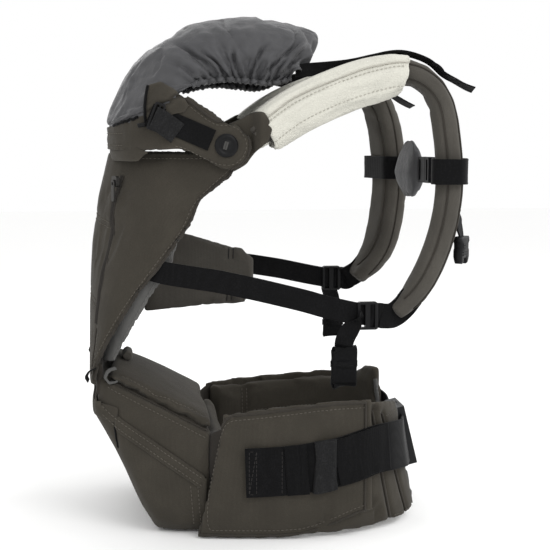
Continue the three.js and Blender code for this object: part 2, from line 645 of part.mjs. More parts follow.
// ---- side-release buckles ----
// x runs along the webbing, z across it, y through the thickness; the mouth is at x = mouth.
function buckle(prefix, size, place, colour) {
  const { width, body, thick, reach, wall, base } = size;
  const side = width / 2;
  const half = thick / 2;
  const mouth = body / 2;
  const put = (name, geometry) => {
    geometry.applyMatrix4(place);
    return add(`${prefix}_${name}`, solid(geometry), colour, 0.45);
  };
  const slot = WEB_THICK + 2.4;
  const inner = { z: side - wall, y: half - wall * 0.62 };
  const housing = cut(box(-mouth, mouth, -half, half, -side, side),
    box(mouth - reach - 1.5, mouth + 1, -inner.y, inner.y, -inner.z, inner.z),
    box(mouth - reach * 0.85, mouth - reach * 0.3, -inner.y + 0.4, inner.y - 0.4, -side - 1, side + 1),
    box(-mouth + 3, -mouth + 3 + slot, -half - 1, half + 1, -side + 3, side - 3));
  put('socket', housing);
  const play = 1.25;
  const tongueHalf = inner.y - play;
  const arm = width * 0.11;
  const yoke = join(box(mouth + 0.8, mouth + base, -half, half, -side, side),
    box(mouth - reach + 3, mouth + 2, -tongueHalf, tongueHalf, -side * 0.18, side * 0.18));
  // Pockets in the yoke where the two sprung arms pivot.
  const roots = [-1, 1].map((k) => {
    const [low, high] = [k * (inner.z + 0.6), k * (inner.z - arm - 1.6)].sort((a, b) => a - b);
    return box(mouth, mouth + 5, -tongueHalf - 0.6, tongueHalf + 0.6, low, high);
  });
  const webSlot = box(mouth + base - 3 - slot, mouth + base - 3, -half - 1, half + 1, -side + 3, side - 3);
  put('tongue', cut(yoke, webSlot, ...roots));
  for (const [name, k] of [['upper', 1], ['lower', -1]]) {
    const [low, high] = [k * (inner.z - 0.6), k * (inner.z - 0.6 - arm)].sort((a, b) => a - b);
    put(`arm_${name}`, box(mouth - reach + 1, mouth + 3.8, -tongueHalf, tongueHalf, low, high));
  }
}
const WAIST_BUCKLE = { width: 72, body: 34, thick: 14, reach: 24, wall: 4.5, base: 16 };
const BUCKLE_AT = vec(-8, 155, 84);
const buckleLean = 0.24;         // leans with the flare of the belt
const buckleSpread = new THREE.Matrix4().makeTranslation(BUCKLE_AT.x, BUCKLE_AT.y, BUCKLE_AT.z)
  .multiply(new THREE.Matrix4().makeRotationX(buckleLean));
buckle('waist_buckle', WAIST_BUCKLE, buckleSpread, PLASTIC);

// ---- cross strap between the shoulder straps ----
const CROSS_Z = 404;
const CROSS_MID = vec(0, 171, CROSS_Z);
const crossTurn = Math.atan2(184 - 155, 2 * STRAP_X.back);
const crossPlace = new THREE.Matrix4().makeTranslation(CROSS_MID.x, CROSS_MID.y, CROSS_MID.z)
  .multiply(new THREE.Matrix4().makeRotationZ(crossTurn));
const inCross = (geometry) => solid(geometry.applyMatrix4(crossPlace));
for (const side of SIDES) {
  const curve = new THREE.CatmullRomCurve3(strapPath(side), false, 'centripetal');
  let centre = curve.getPointAt(0);
  for (let i = 0; i <= 400; i++) {
    const p = curve.getPointAt(0.4 + (0.4 * i) / 400);
    if (Math.abs(p.z - CROSS_Z) < Math.abs(centre.z - CROSS_Z)) centre = p;
  }
  const route = [vec(centre.x, centre.y, CROSS_Z - 14), vec(centre.x, centre.y, CROSS_Z + 14)];
  const width = () => vec(1, mirrorX(side) * STRAP_TURN, 0);
  const bore = rings(route, width, () => pill(STRAP_WIDTH + 5, STRAP_THICK + 6, 0.9), 1);
  const skin = rings(route, width, () => pill(STRAP_WIDTH + 9, STRAP_THICK + 10, 0.9), 1);
  add(`cross_strap_band_${side}`, tubeWall(skin, bore), WEB, 0.85);
}
add('cross_strap_pad', inCross(plate(60, 62, 12, 16)
  .applyMatrix4(new THREE.Matrix4().makeBasis(vec(1, 0, 0), vec(0, 0, 1), vec(0, -1, 0)))
  .applyMatrix4(new THREE.Matrix4().makeTranslation(-12, -4, 0))), HOOD, 0.8);
const crossBuckle = crossPlace.clone().multiply(new THREE.Matrix4().makeTranslation(31, -2, 0));
const CROSS_BUCKLE = { width: 30, body: 19, thick: 9, reach: 12, wall: 2.6, base: 12 };
buckle('cross_buckle', CROSS_BUCKLE, crossBuckle, PLASTIC);

// Spare elastic loop with its small buckle half, hanging on the outside of the left strap.
const spareRoute = [vec(104, 203, 354), vec(104, 203, 344), vec(104, 200.5, 335)];
add('spare_webbing', sweep(spareRoute, () => vec(1, -0.2, 0), flat(20, 2.2), 3), WEB, 0.85);
const SPARE = { x: 104, y: 199.5, top: 329.5, wide: 24, deep: 11, tall: 31, wall: 4, mouth: 14, slit: 5 };
const spareFoot = SPARE.top - SPARE.tall;
const spareBox = (wide, deep, low, high) => box(SPARE.x - wide / 2, SPARE.x + wide / 2,
  SPARE.y - deep / 2, SPARE.y + deep / 2, low, high);
add('spare_buckle', cut(
  spareBox(SPARE.wide, SPARE.deep, spareFoot, SPARE.top),
  spareBox(SPARE.wide - 2 * SPARE.wall, SPARE.slit, spareFoot - 2, spareFoot + SPARE.mouth),
), PLASTIC, 0.5);

// ---- headrest hardware ----
for (const side of SIDES) {
  const s = mirrorX(side);
  const face = s * (HEADREST_HALF + GAP);
  const disc = (radius, thick, x) => {
    const profileLine = [[0, 0], [radius, 0], [radius, thick * 0.6], [radius * 0.86, thick], [0, thick]];
    const geometry = new THREE.LatheGeometry(profileLine.map(([r, h]) => new THREE.Vector2(r, h)), 20);
    geometry.rotateZ(-s * Math.PI / 2);
    geometry.translate(x, TAB.y, TAB.z);
    return solid(geometry);
  };
  add(`snap_cap_${side}`, disc(13, 4.5, face), PLASTIC, 0.4);
  const out = face + s * 1.4;
  const strip = [vec(out, -148, 466), vec(out, -122, 456), vec(out, -83, 439)];
  const section = flat(WEBBING - 1, WEB_THICK);
  add(`headrest_webbing_${side}`, sweep(strip, () => vec(0, 0.37, 0.93), section, 4), WEB, 0.85);
  const slide = plate(12, 31, 3, 2.5, [[-3.8, -0.6, -13, 13], [1, 4, -13, 13]]);
  slide.applyMatrix4(new THREE.Matrix4().makeBasis(vec(0, 1, 0), vec(0, 0, 1), vec(1, 0, 0)));
  slide.applyMatrix4(new THREE.Matrix4().makeRotationX(-0.37));
  slide.translate(face + s * 4.4, -143, 464);
  add(`headrest_slide_${side}`, solid(slide), PLASTIC, 0.5);
}

// ---- hood straps, led back over the pads ----
for (const side of SIDES) {
  const s = mirrorX(side);
  const lift = STRAP_THICK / 2 + SLEEVE_WALL + 4.2;
  const curve = new THREE.CatmullRomCurve3(strapPath(side), false, 'centripetal');
  const over = [0.1, 0.16, 0.22, 0.28, 0.34, 0.4, 0.45].map((t) => {
    const p = curve.getPointAt(t);
    const d = curve.getTangentAt(t);
    return vec(p.x + s * 2, p.y - d.z * lift, p.z + d.y * lift);
  });
  const tail = over[over.length - 1];
  const path = [vec(s * 88, 15, 514), ...over.slice(1), vec(tail.x, tail.y + 16, tail.z - 10),
    vec(tail.x + s * 2, tail.y + 34, tail.z - 18)];
  add(`hood_strap_${side}`, sweep(path, () => vec(1, 0, 0), flat(16, 1.6), 16), WEB, 0.85);
}

// The origin is under the middle of the carrier, on the plane it stands on.
const bounds = new THREE.Box3().setFromObject(group);
group.position.set(0, -(bounds.min.y + bounds.max.y) / 2, -bounds.min.z);
group.updateMatrixWorld(true);

export default group;
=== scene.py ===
import json
import math
import random

import bmesh
import bpy
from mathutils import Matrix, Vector, noise
from mathutils.bvhtree import BVHTree
from mathutils.kdtree import KDTree


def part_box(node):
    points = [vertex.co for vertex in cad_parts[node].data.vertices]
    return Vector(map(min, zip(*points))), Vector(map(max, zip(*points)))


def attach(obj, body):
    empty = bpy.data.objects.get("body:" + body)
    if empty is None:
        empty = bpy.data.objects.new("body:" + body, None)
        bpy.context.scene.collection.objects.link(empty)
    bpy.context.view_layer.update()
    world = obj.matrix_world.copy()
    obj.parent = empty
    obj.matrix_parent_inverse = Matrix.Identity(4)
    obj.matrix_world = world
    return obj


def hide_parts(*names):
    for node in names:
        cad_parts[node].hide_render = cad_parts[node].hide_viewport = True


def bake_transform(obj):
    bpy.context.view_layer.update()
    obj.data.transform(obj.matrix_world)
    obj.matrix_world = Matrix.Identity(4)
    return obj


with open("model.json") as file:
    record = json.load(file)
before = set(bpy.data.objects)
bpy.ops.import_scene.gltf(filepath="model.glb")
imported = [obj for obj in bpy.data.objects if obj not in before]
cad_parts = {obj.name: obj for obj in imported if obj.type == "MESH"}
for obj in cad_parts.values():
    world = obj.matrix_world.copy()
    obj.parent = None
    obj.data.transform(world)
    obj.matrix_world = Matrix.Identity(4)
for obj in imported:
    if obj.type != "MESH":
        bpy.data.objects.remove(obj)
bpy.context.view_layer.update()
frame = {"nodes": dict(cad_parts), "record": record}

# A hip-seat baby carrier: the rigid parts come from the CAD frame, the fabric is made here.
# Design points are millimetres in the part's own frame; row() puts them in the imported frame, in metres.
MM = 0.001
NODES = frame["nodes"]
SLOT_OF = {p["node"]: p["material_slot"] for p in frame["record"]["subparts"]}
FOAM_LOW, FOAM_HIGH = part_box("seat_foam_core")
FOAM_DESIGN_Y = -144.5  # middle of the seat foam, in design millimetres before centring
SHIFT_Y = (FOAM_LOW[1] + FOAM_HIGH[1]) / 2 - FOAM_DESIGN_Y * MM
SIDES = (("left", 1), ("right", -1))
random.seed(7)


def row(x, y, z):
    return Vector((x * MM, y * MM + SHIFT_Y, z * MM))


def clamp(t, low=0.0, high=1.0):
    return min(high, max(low, t))


def ease(t):
    t = clamp(t)
    return t * t * (3 - 2 * t)


def blend_value(a, b, t):
    return a + (b - a) * t


# ---- camera, floor and light ----
def make_camera():
    azimuth, pitch = math.radians(83), math.radians(6.3)
    distance, height = 1.51, 0.445
    data = bpy.data.cameras.new("camera")
    data.lens = 83.3
    data.sensor_width = 36
    camera = bpy.data.objects.new("camera", data)
    bpy.context.collection.objects.link(camera)
    camera.location = (distance * math.sin(azimuth), -distance * math.cos(azimuth) + SHIFT_Y, height)
    camera.rotation_euler = (math.pi / 2 - pitch, 0, azimuth)
    bpy.context.scene.camera = camera


def area_light(name, place, target, size, power):
    data = bpy.data.lights.new(name, "AREA")
    data.shape = "DISK"
    data.size = size
    data.energy = power
    light = bpy.data.objects.new(name, data)
    bpy.context.collection.objects.link(light)
    light.location = place
    light.rotation_euler = (Vector(target) - Vector(place)).to_track_quat("-Z", "Y").to_euler()


def make_studio():
    world = bpy.data.worlds.new("studio")
    world.use_nodes = True
    background = world.node_tree.nodes["Background"]
    background.inputs["Color"].default_value = (1, 1, 1, 1)
    background.inputs["Strength"].default_value = 1.0
    bpy.context.scene.world = world
    middle = (0, 0, 0.3)
    area_light("key", (1.6, 0.9, 1.7), middle, 1.2, 15)
    area_light("rim", (-0.4, 2.0, 1.2), middle, 1.0, 13)
    area_light("front", (0.9, -1.9, 0.9), middle, 1.2, 4)
    area_light("far_side", (-1.8, -0.4, 1.2), middle, 1.2, 6)
    mesh = bpy.data.meshes.new("floor")
    half = 6
    corners = [(-half, -half, 0), (half, -half, 0), (half, half, 0), (-half, half, 0)]
    mesh.from_pydata(corners, [], [(0, 1, 2, 3)])
    floor = bpy.data.objects.new("floor", mesh)
    bpy.context.collection.objects.link(floor)
    floor.location.z = -0.0005
    floor.data.materials.append(plain_material("floor_paper", (0.975, 0.975, 0.97), 0.95))
    bpy.context.scene.view_settings.view_transform = "Standard"


# ---- materials ----
def shader(name, colour, roughness, specular=0.1):
    material = bpy.data.materials.new(name)
    material.use_nodes = True
    node = material.node_tree.nodes["Principled BSDF"]
    node.inputs["Base Color"].default_value = (*colour, 1)
    node.inputs["Roughness"].default_value = roughness
    node.inputs["Specular IOR Level"].default_value = specular
    return material, material.node_tree, node


def plain_material(name, colour, roughness):
    return shader(name, colour, roughness)[0]


def maths(tree, operation, a, b=None, clamped=False):
    node = tree.nodes.new("ShaderNodeMath")
    node.operation = operation
    node.use_clamp = clamped
    for i, value in enumerate((a, b)):
        if value is None:
            continue
        if isinstance(value, (int, float)):
            node.inputs[i].default_value = value
        else:
            tree.links.new(value, node.inputs[i])
    return node.outputs[0]


def place_scaled(tree, scale):
    where = tree.nodes.new("ShaderNodeTexCoord")
    scaled = tree.nodes.new("ShaderNodeVectorMath")
    scaled.operation = "SCALE"
    scaled.inputs["Scale"].default_value = scale
    tree.links.new(where.outputs["Object"], scaled.inputs[0])
    return scaled.outputs[0]


# Crossed yarns: the sum of three sines, which gives a grid on any face.
def yarns(tree, pitch):
    wave = tree.nodes.new("ShaderNodeVectorMath")
    wave.operation = "SINE"
    tree.links.new(place_scaled(tree, 2 * math.pi / pitch), wave.inputs[0])
    total = tree.nodes.new("ShaderNodeVectorMath")
    total.operation = "DOT_PRODUCT"
    total.inputs[1].default_value = (1 / 3, 1 / 3, 1 / 3)
    tree.links.new(wave.outputs[0], total.inputs[0])
    return total.outputs["Value"]


def noise_at(tree, size, detail=3.0, stretch=None):
    node = tree.nodes.new("ShaderNodeTexNoise")
    node.inputs["Scale"].default_value = 1.0
    node.inputs["Detail"].default_value = detail
    source = place_scaled(tree, 1 / size)
    if stretch:
        scaled = tree.nodes.new("ShaderNodeVectorMath")
        scaled.operation = "MULTIPLY"
        scaled.inputs[1].default_value = stretch
        tree.links.new(source, scaled.inputs[0])
        source = scaled.outputs[0]
    tree.links.new(source, node.inputs["Vector"])
    return node.outputs["Fac"]


def ramp(tree, value, stops):
    node = tree.nodes.new("ShaderNodeValToRGB")
    elements = node.color_ramp.elements
    while len(elements) < len(stops):
        elements.new(0.5)
    for element, (position, colour) in zip(elements, stops):
        element.position = position
        element.color = (*colour, 1)
    tree.links.new(value, node.inputs["Fac"])
    return node.outputs["Color"]


def bump(tree, shader_node, height, distance, strength=1.0, under=None):
    node = tree.nodes.new("ShaderNodeBump")
    node.inputs["Distance"].default_value = distance
    node.inputs["Strength"].default_value = strength
    tree.links.new(height, node.inputs["Height"])
    if under:
        tree.links.new(under, node.inputs["Normal"])
    tree.links.new(node.outputs["Normal"], shader_node.inputs["Normal"])
    return node.outputs["Normal"]


def tint(colour, factor):
    return tuple(min(1.0, c * factor) for c in colour)


# Woven cloth: yarn grid, flecked dye, soft folds in the bump and paler worn edges.
def cloth_material(name, colour, pitch=0.0009, roughness=0.85, sheen=0.06, fleck=0.3, fold=0.0009, wear=0.35):
    material, tree, node = shader(name, colour, roughness)
    grid = yarns(tree, pitch)
    speck = noise_at(tree, 0.0012, 4)
    patch = noise_at(tree, 0.035, 3)
    worn = tree.nodes.new("ShaderNodeNewGeometry").outputs["Pointiness"]
    edge = maths(tree, "MULTIPLY", maths(tree, "SUBTRACT", worn, 0.515), 9 * wear, True)
    shade = maths(tree, "MULTIPLY", maths(tree, "SUBTRACT", speck, 0.5), fleck * 1.6)
    shade = maths(tree, "ADD", shade, maths(tree, "MULTIPLY", maths(tree, "SUBTRACT", patch, 0.5), 0.5))
    shade = maths(tree, "ADD", shade, maths(tree, "MULTIPLY", grid, 0.06))
    shade = maths(tree, "ADD", maths(tree, "ADD", shade, edge), 0.5, True)
    stops = [(0.0, tint(colour, 0.62)), (0.5, colour), (1.0, tint(colour, 1.65))]
    tree.links.new(ramp(tree, shade, stops), node.inputs["Base Color"])
    node.inputs["Sheen Weight"].default_value = sheen
    node.inputs["Sheen Roughness"].default_value = 0.5
    first = bump(tree, node, grid, pitch * 0.07)
    bump(tree, node, noise_at(tree, 0.018, 4), fold, 1.0, first)
    return material


# Ribbed webbing: fine ribs along the strap's length and across it.
def webbing_material(name, colour, shine=0.55):
    material, tree, node = shader(name, colour, shine, 0.05)
    ribs = yarns(tree, 0.0013)
    speck = noise_at(tree, 0.0016, 2)
    shade = maths(tree, "ADD", maths(tree, "MULTIPLY", ribs, 0.16), speck, True)
    stops = [(0.15, tint(colour, 0.55)), (0.55, colour), (0.95, tint(colour, 2.1))]
    tree.links.new(ramp(tree, shade, stops), node.inputs["Base Color"])
    node.inputs["Sheen Weight"].default_value = 0.03
    bump(tree, node, ribs, 0.00012)
    return material


# Thin crinkled nylon with a soft sheen.
def nylon_material(name, colour):
    material, tree, node = shader(name, colour, 0.5, 0.25)
    grid = yarns(tree, 0.0008)
    crinkle = noise_at(tree, 0.012, 6)
    shade = maths(tree, "ADD", maths(tree, "MULTIPLY", maths(tree, "SUBTRACT", crinkle, 0.5), 0.7), 0.5, True)
    stops = [(0.0, tint(colour, 0.7)), (0.5, colour), (1.0, tint(colour, 1.35))]
    tree.links.new(ramp(tree, shade, stops), node.inputs["Base Color"])
    node.inputs["Sheen Weight"].default_value = 0.12
    node.inputs["Sheen Roughness"].default_value = 0.35
    first = bump(tree, node, grid, 0.00008)
    bump(tree, node, crinkle, 0.0016, 0.8, first)
    return material


# Looped terry towelling.
def terry_material(name, colour):
    material, tree, node = shader(name, colour, 0.95)
    loops = tree.nodes.new("ShaderNodeTexVoronoi")
    loops.inputs["Scale"].default_value = 1.0
    tree.links.new(place_scaled(tree, 1 / 0.0016), loops.inputs["Vector"])
    patch = noise_at(tree, 0.03, 3)
    shade = maths(tree, "ADD", maths(tree, "MULTIPLY", loops.outputs["Distance"], 0.35), patch, True)
    stops = [(0.2, tint(colour, 0.86)), (0.6, colour), (1.0, tint(colour, 1.04))]
    tree.links.new(ramp(tree, shade, stops), node.inputs["Base Color"])
    node.inputs["Sheen Weight"].default_value = 0.15
    first = bump(tree, node, loops.outputs["Distance"], 0.0006)
    bump(tree, node, noise_at(tree, 0.014, 4), 0.0012, 1.0, first)
    return material


# Moulded plastic with a fine spark texture and rubbed edges.
def plastic_material(name, colour, roughness=0.42):
    material, tree, node = shader(name, colour, roughness, 0.16)
    grain = noise_at(tree, 0.0007, 3)
    smear = noise_at(tree, 0.01, 3)
    worn = tree.nodes.new("ShaderNodeNewGeometry").outputs["Pointiness"]
    edge = maths(tree, "MULTIPLY", maths(tree, "SUBTRACT", worn, 0.53), 7, True)
    shade = maths(tree, "ADD", maths(tree, "MULTIPLY", smear, 0.4), edge, True)
    stops = [(0.1, colour), (0.4, tint(colour, 1.3)), (1.0, tint(colour, 3.2))]
    tree.links.new(ramp(tree, shade, stops), node.inputs["Base Color"])
    rough = maths(tree, "ADD", maths(tree, "MULTIPLY", smear, 0.25), roughness - 0.12)
    tree.links.new(rough, node.inputs["Roughness"])
    bump(tree, node, grain, 0.00006)
    return material


def metal_material(name, colour):
    material, tree, node = shader(name, colour, 0.42, 0.5)
    node.inputs["Metallic"].default_value = 1.0
    brushed = noise_at(tree, 0.002, 3, (1, 1, 8))
    stops = [(0.2, tint(colour, 0.7)), (0.8, tint(colour, 1.3))]
    tree.links.new(ramp(tree, brushed, stops), node.inputs["Base Color"])
    bump(tree, node, brushed, 0.00005)
    return material


SHELL = (0.0405, 0.0360, 0.0288)
make_camera()
make_studio()
MATERIALS = {
    "shell_fabric": cloth_material("shell_fabric", SHELL),
    "dark_fabric": cloth_material("dark_fabric", (0.024, 0.021, 0.018)),
    "lining": cloth_material("lining", (0.088, 0.087, 0.084), roughness=0.9, sheen=0.12, fleck=0.15),
    "hood_fabric": nylon_material("hood_fabric", (0.058, 0.058, 0.061)),
    "webbing": webbing_material("webbing", (0.0052, 0.0052, 0.0056)),
    "pale_terry": terry_material("pale_terry", (0.60, 0.59, 0.525)),
    "foam": cloth_material("foam", (0.03, 0.03, 0.03)),
    "board": plastic_material("board", (0.03, 0.028, 0.026), 0.6),
    "buckle_plastic": plastic_material("buckle_plastic", (0.0048, 0.0048, 0.0052)),
    "zip_metal": metal_material("zip_metal", (0.075, 0.073, 0.070)),
}
THREAD = cloth_material("thread", (0.088, 0.079, 0.066), pitch=0.0006, wear=0.0, fold=0.0001)
DARK_THREAD = cloth_material("dark_thread", (0.03, 0.028, 0.027), pitch=0.0006, wear=0.0, fold=0.0001)
LINER_THREAD = cloth_material("liner_thread", (0.13, 0.127, 0.12), roughness=0.8, sheen=0.05)
STRAP_FABRIC = cloth_material("strap_fabric", (0.066, 0.061, 0.053))
PIPING = cloth_material("piping", (0.036, 0.032, 0.027), pitch=0.0009, fold=0.0001)
# the same black webbing made lighter: a painted highlight for folds that catch the light
LIT_FOLD_WEBBING = webbing_material("webbing_painted_highlight", (0.015, 0.015, 0.0155), 0.6)
PALE_BIND = cloth_material("pale_binding", (0.40, 0.385, 0.34), pitch=0.0009, fold=0.0002, wear=0.0)


# ---- mesh helpers ----
def new_object(name, points, faces, smooth=True):
    mesh = bpy.data.meshes.new(name)
    mesh.from_pydata([tuple(p) for p in points], [], faces)
    mesh.validate()
    obj = bpy.data.objects.new(name, mesh)
    bpy.context.collection.objects.link(obj)
    for polygon in mesh.polygons:
        polygon.use_smooth = smooth
    return obj


def mesh_of_nodes(name, nodes):
    points, faces = [], []
    for node in nodes:
        mesh = NODES[node].data
        start = len(points)
        points += [v.co.copy() for v in mesh.vertices]
        faces += [[start + i for i in p.vertices] for p in mesh.polygons]
    return new_object(name, points, faces)


def bake(obj):
    depsgraph = bpy.context.evaluated_depsgraph_get()
    mesh = bpy.data.meshes.new_from_object(obj.evaluated_get(depsgraph))
    obj.modifiers.clear()
    old = obj.data
    obj.data = mesh
    bpy.data.meshes.remove(old)
    for polygon in mesh.polygons:
        polygon.use_smooth = True


def remesh(obj, voxel):
    modifier = obj.modifiers.new("remesh", "REMESH")
    modifier.mode = "VOXEL"
    modifier.voxel_size = voxel
    modifier.use_smooth_shade = True
    bake(obj)


def relax(obj, factor, times):
    modifier = obj.modifiers.new("relax", "SMOOTH")
    modifier.factor = factor
    modifier.iterations = times
    bake(obj)


def subdivide(obj, levels=1):
    modifier = obj.modifiers.new("fine", "SUBSURF")
    modifier.levels = modifier.render_levels = levels
    bake(obj)


# Makes a sheet solid, with half of the thickness on each side.
def thicken(obj, thickness):
    modifier = obj.modifiers.new("thick", "SOLIDIFY")
    modifier.thickness = thickness * MM
    modifier.offset = 0
    bake(obj)


# Faces of a grid of points that is stored column by column, with this many cells each way.
def grid_faces(columns, cells):
    faces = []
    for i in range(columns):
        for j in range(cells):
            k = i * (cells + 1) + j
            faces.append((k, k + cells + 1, k + cells + 2, k + 1))
    return faces


TREES = {}


# The search tree of a piece's mesh; grooves are shallow, so the first one made serves all its seams.
def tree_of(obj):
    mesh = obj.data
    if mesh.name not in TREES:
        TREES[mesh.name] = search_tree(mesh)
    return TREES[mesh.name]


def search_tree(mesh):
    return BVHTree.FromPolygons([v.co for v in mesh.vertices], [list(p.vertices) for p in mesh.polygons])


def finish(obj, body, material, nodes=()):
    obj.data.materials.clear()
    obj.data.materials.append(material)
    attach(obj, body)
    if nodes:
        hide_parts(*nodes)
    return obj


# ---- padded fabric, all inflated together ----
WAITING = []


def pad(name, nodes, voxel, pressure=4.0, cap=4.0, grow=0.03, smooth=3, pin=None):
    obj = mesh_of_nodes(name, nodes)
    remesh(obj, voxel * MM)
    relax(obj, 0.5, smooth)
    WAITING.append(dict(obj=obj, pressure=pressure, cap=cap * MM, grow=grow, pin=pin))
    return obj


def inflate_all(frames=20):
    scene = bpy.context.scene
    scene.frame_start, scene.frame_end = 1, frames
    for item in WAITING:
        obj = item["obj"]
        item["base"] = [v.co.copy() for v in obj.data.vertices]
        settings = obj.modifiers.new("cloth", "CLOTH")
        settings.point_cache.frame_start = 1
        settings.point_cache.frame_end = frames
        cloth = settings.settings
        cloth.quality = 4
        cloth.effector_weights.gravity = 0
        cloth.use_pressure = True
        cloth.uniform_pressure_force = item["pressure"]
        cloth.shrink_min = -item["grow"]
        cloth.tension_stiffness = cloth.compression_stiffness = 12
        cloth.bending_stiffness = 0.3
        if item["pin"]:
            group = obj.vertex_groups.new(name="pin")
            for vertex in obj.data.vertices:
                held = item["pin"](vertex.co)
                if held > 0:
                    group.add([vertex.index], held, "REPLACE")
            cloth.vertex_group_mass = "pin"
    for step in range(1, frames + 1):
        scene.frame_set(step)
    depsgraph = bpy.context.evaluated_depsgraph_get()
    for item in WAITING:
        shape = item["obj"].evaluated_get(depsgraph).to_mesh()
        item["moved"] = [v.co.copy() for v in shape.vertices]
        item["obj"].evaluated_get(depsgraph).to_mesh_clear()
    for item in WAITING:
        obj = item["obj"]
        obj.modifiers.clear()
        obj.vertex_groups.clear()
        for vertex, base, moved in zip(obj.data.vertices, item["base"], item["moved"]):
            step = moved - base
            if step.length > item["cap"]:
                step *= item["cap"] / step.length
            vertex.co = base + step
    scene.frame_set(1)


# ---- seams ----
def resample(points, spacing):
    result = [points[0].copy()]
    rest = spacing
    for a, b in zip(points, points[1:]):
        length = (b - a).length
        while rest <= length and length > 0:
            result.append(a.lerp(b, rest / length))
            rest += spacing
        rest -= length
    result.append(points[-1].copy())
    return result


def rounded(points, times=2):
    for _ in range(times):
        cut = [points[0]]
        for a, b in zip(points, points[1:]):
            cut += [a.lerp(b, 0.25), a.lerp(b, 0.75)]
        points = cut + [points[-1]]
    return points


# Throws a line of design points onto a piece along a direction; keeps the (place, normal) pairs that land.
def throw(tree, points, direction, spacing=0.002, reach=0.5):
    direction = Vector(direction).normalized()
    landed = []
    for p in resample(points, spacing):
        place, normal, _, _ = tree.ray_cast(p - direction * reach, direction)
        if place:
            landed.append((place, normal))
    return landed


def nearest_line(tree, points, spacing=0.002):
    landed = []
    for p in resample(points, spacing):
        place, normal, _, _ = tree.find_nearest(p)
        if place:
            landed.append((place, normal))
    return landed


# Runs without jumps, as a line can fall on more than one face.
def unbroken(landed, gap=0.012):
    runs, run = [], []
    for item in landed:
        if run and (item[0] - run[-1][0]).length > gap:
            runs.append(run)
            run = []
        run.append(item)
    runs.append(run)
    return [r for r in runs if len(r) > 2]


def groove(obj, landed, depth, width):
    tree = KDTree(len(landed))
    for i, (place, _) in enumerate(landed):
        tree.insert(place, i)
    tree.balance()
    reach = width * 2.5
    moves = []
    for vertex in obj.data.vertices:
        _, i, distance = tree.find(vertex.co)
        if distance < reach:
            moves.append((vertex, landed[i][1] * (-depth * math.exp(-((distance / width) ** 2)))))
    for vertex, move in moves:
        if vertex.normal.dot(move) < 0:
            vertex.co += move


def tube(name, lines, radius, sides=6, lift=0.0):
    points, faces = [], []
    for line in lines:
        start = len(points)
        count = len(line)
        for i, (place, normal) in enumerate(line):
            along = (line[min(i + 1, count - 1)][0] - line[max(i - 1, 0)][0]).normalized()
            side = along.cross(normal).normalized()
            up = side.cross(along).normalized()
            for k in range(sides):
                a = 2 * math.pi * k / sides
                points.append(place + up * (lift + radius * math.sin(a)) + side * radius * math.cos(a))
        for i in range(count - 1):
            for k in range(sides):
                a = start + i * sides + k
                b = start + i * sides + (k + 1) % sides
                faces.append((a, b, b + sides, a + sides))
        faces.append(tuple(start + k for k in range(sides))[::-1])
        faces.append(tuple(start + (count - 1) * sides + k for k in range(sides)))
    return new_object(name, points, faces)


# Separate thread dashes that sink into the cloth at both ends.
def stitches(name, lines, long=0.0034, gap=0.0014, wide=0.00052):
    points, faces = [], []
    for line in lines:
        spots = [p for p, _ in line]
        lengths = [0.0]
        for a, b in zip(spots, spots[1:]):
            lengths.append(lengths[-1] + (b - a).length)

        def at(distance):
            for i in range(1, len(lengths)):
                if lengths[i] >= distance:
                    t = (distance - lengths[i - 1]) / max(1e-9, lengths[i] - lengths[i - 1])
                    return spots[i - 1].lerp(spots[i], t), line[i][1]
            return spots[-1], line[-1][1]

        done = 0.001
        while done + long < lengths[-1]:
            a, n = at(done)
            b, _ = at(done + long)
            along = (b - a).normalized()
            side = along.cross(n).normalized()
            start = len(points)
            for t, size, lift in ((0, 0.3, -0.3), (0.25, 1, 0.55), (0.75, 1, 0.55), (1, 0.3, -0.3)):
                centre = a.lerp(b, t) + n * wide * lift
                for k in range(6):
                    angle = math.pi * k / 3
                    points.append(centre + (side * math.cos(angle) + n * math.sin(angle)) * wide * size)
            for i in range(3):
                for k in range(6):
                    c = start + i * 6 + k
                    d = start + i * 6 + (k + 1) % 6
                    faces.append((c, d, d + 6, c + 6))
            faces.append(tuple(start + k for k in range(6))[::-1])
            faces.append(tuple(start + 18 + k for k in range(6)))
            done += long + gap
    return new_object(name, points, faces)


def raised(line, height):
    return [(p + n * height, n) for p, n in line]


def sew(name, obj, body, points, direction, kind="stitch", depth=0.0008, width=0.0025, material=None,
        radius=0.0011, spacing=0.002):
    tree = tree_of(obj)
    landed = throw(tree, points, direction, spacing)
    if len(landed) < 3:
        return None
    if depth:
        groove(obj, landed, depth, width)
        landed = raised(landed, -0.8 * depth)
    lines = unbroken(landed)
    if not lines:
        return None
    if kind == "pipe":
        piece = tube(name, lines, radius, 8, radius * 0.4)
        return finish(piece, body, material or PIPING)
    return finish(stitches(name, lines), body, material or THREAD)


# ---- straps and webbing ----
def smooth_path(points, per_span=8):
    result = []
    for i in range(len(points) - 1):
        p0 = points[max(i - 1, 0)]
        p1, p2 = points[i], points[i + 1]
        p3 = points[min(i + 2, len(points) - 1)]
        for k in range(per_span):
            t = k / per_span
            result.append(0.5 * ((2 * p1) + (p2 - p0) * t + (2 * p0 - 5 * p1 + 4 * p2 - p3) * t * t
                                 + (3 * p1 - p0 - 3 * p2 + p3) * t * t * t))
    result.append(points[-1].copy())
    return result


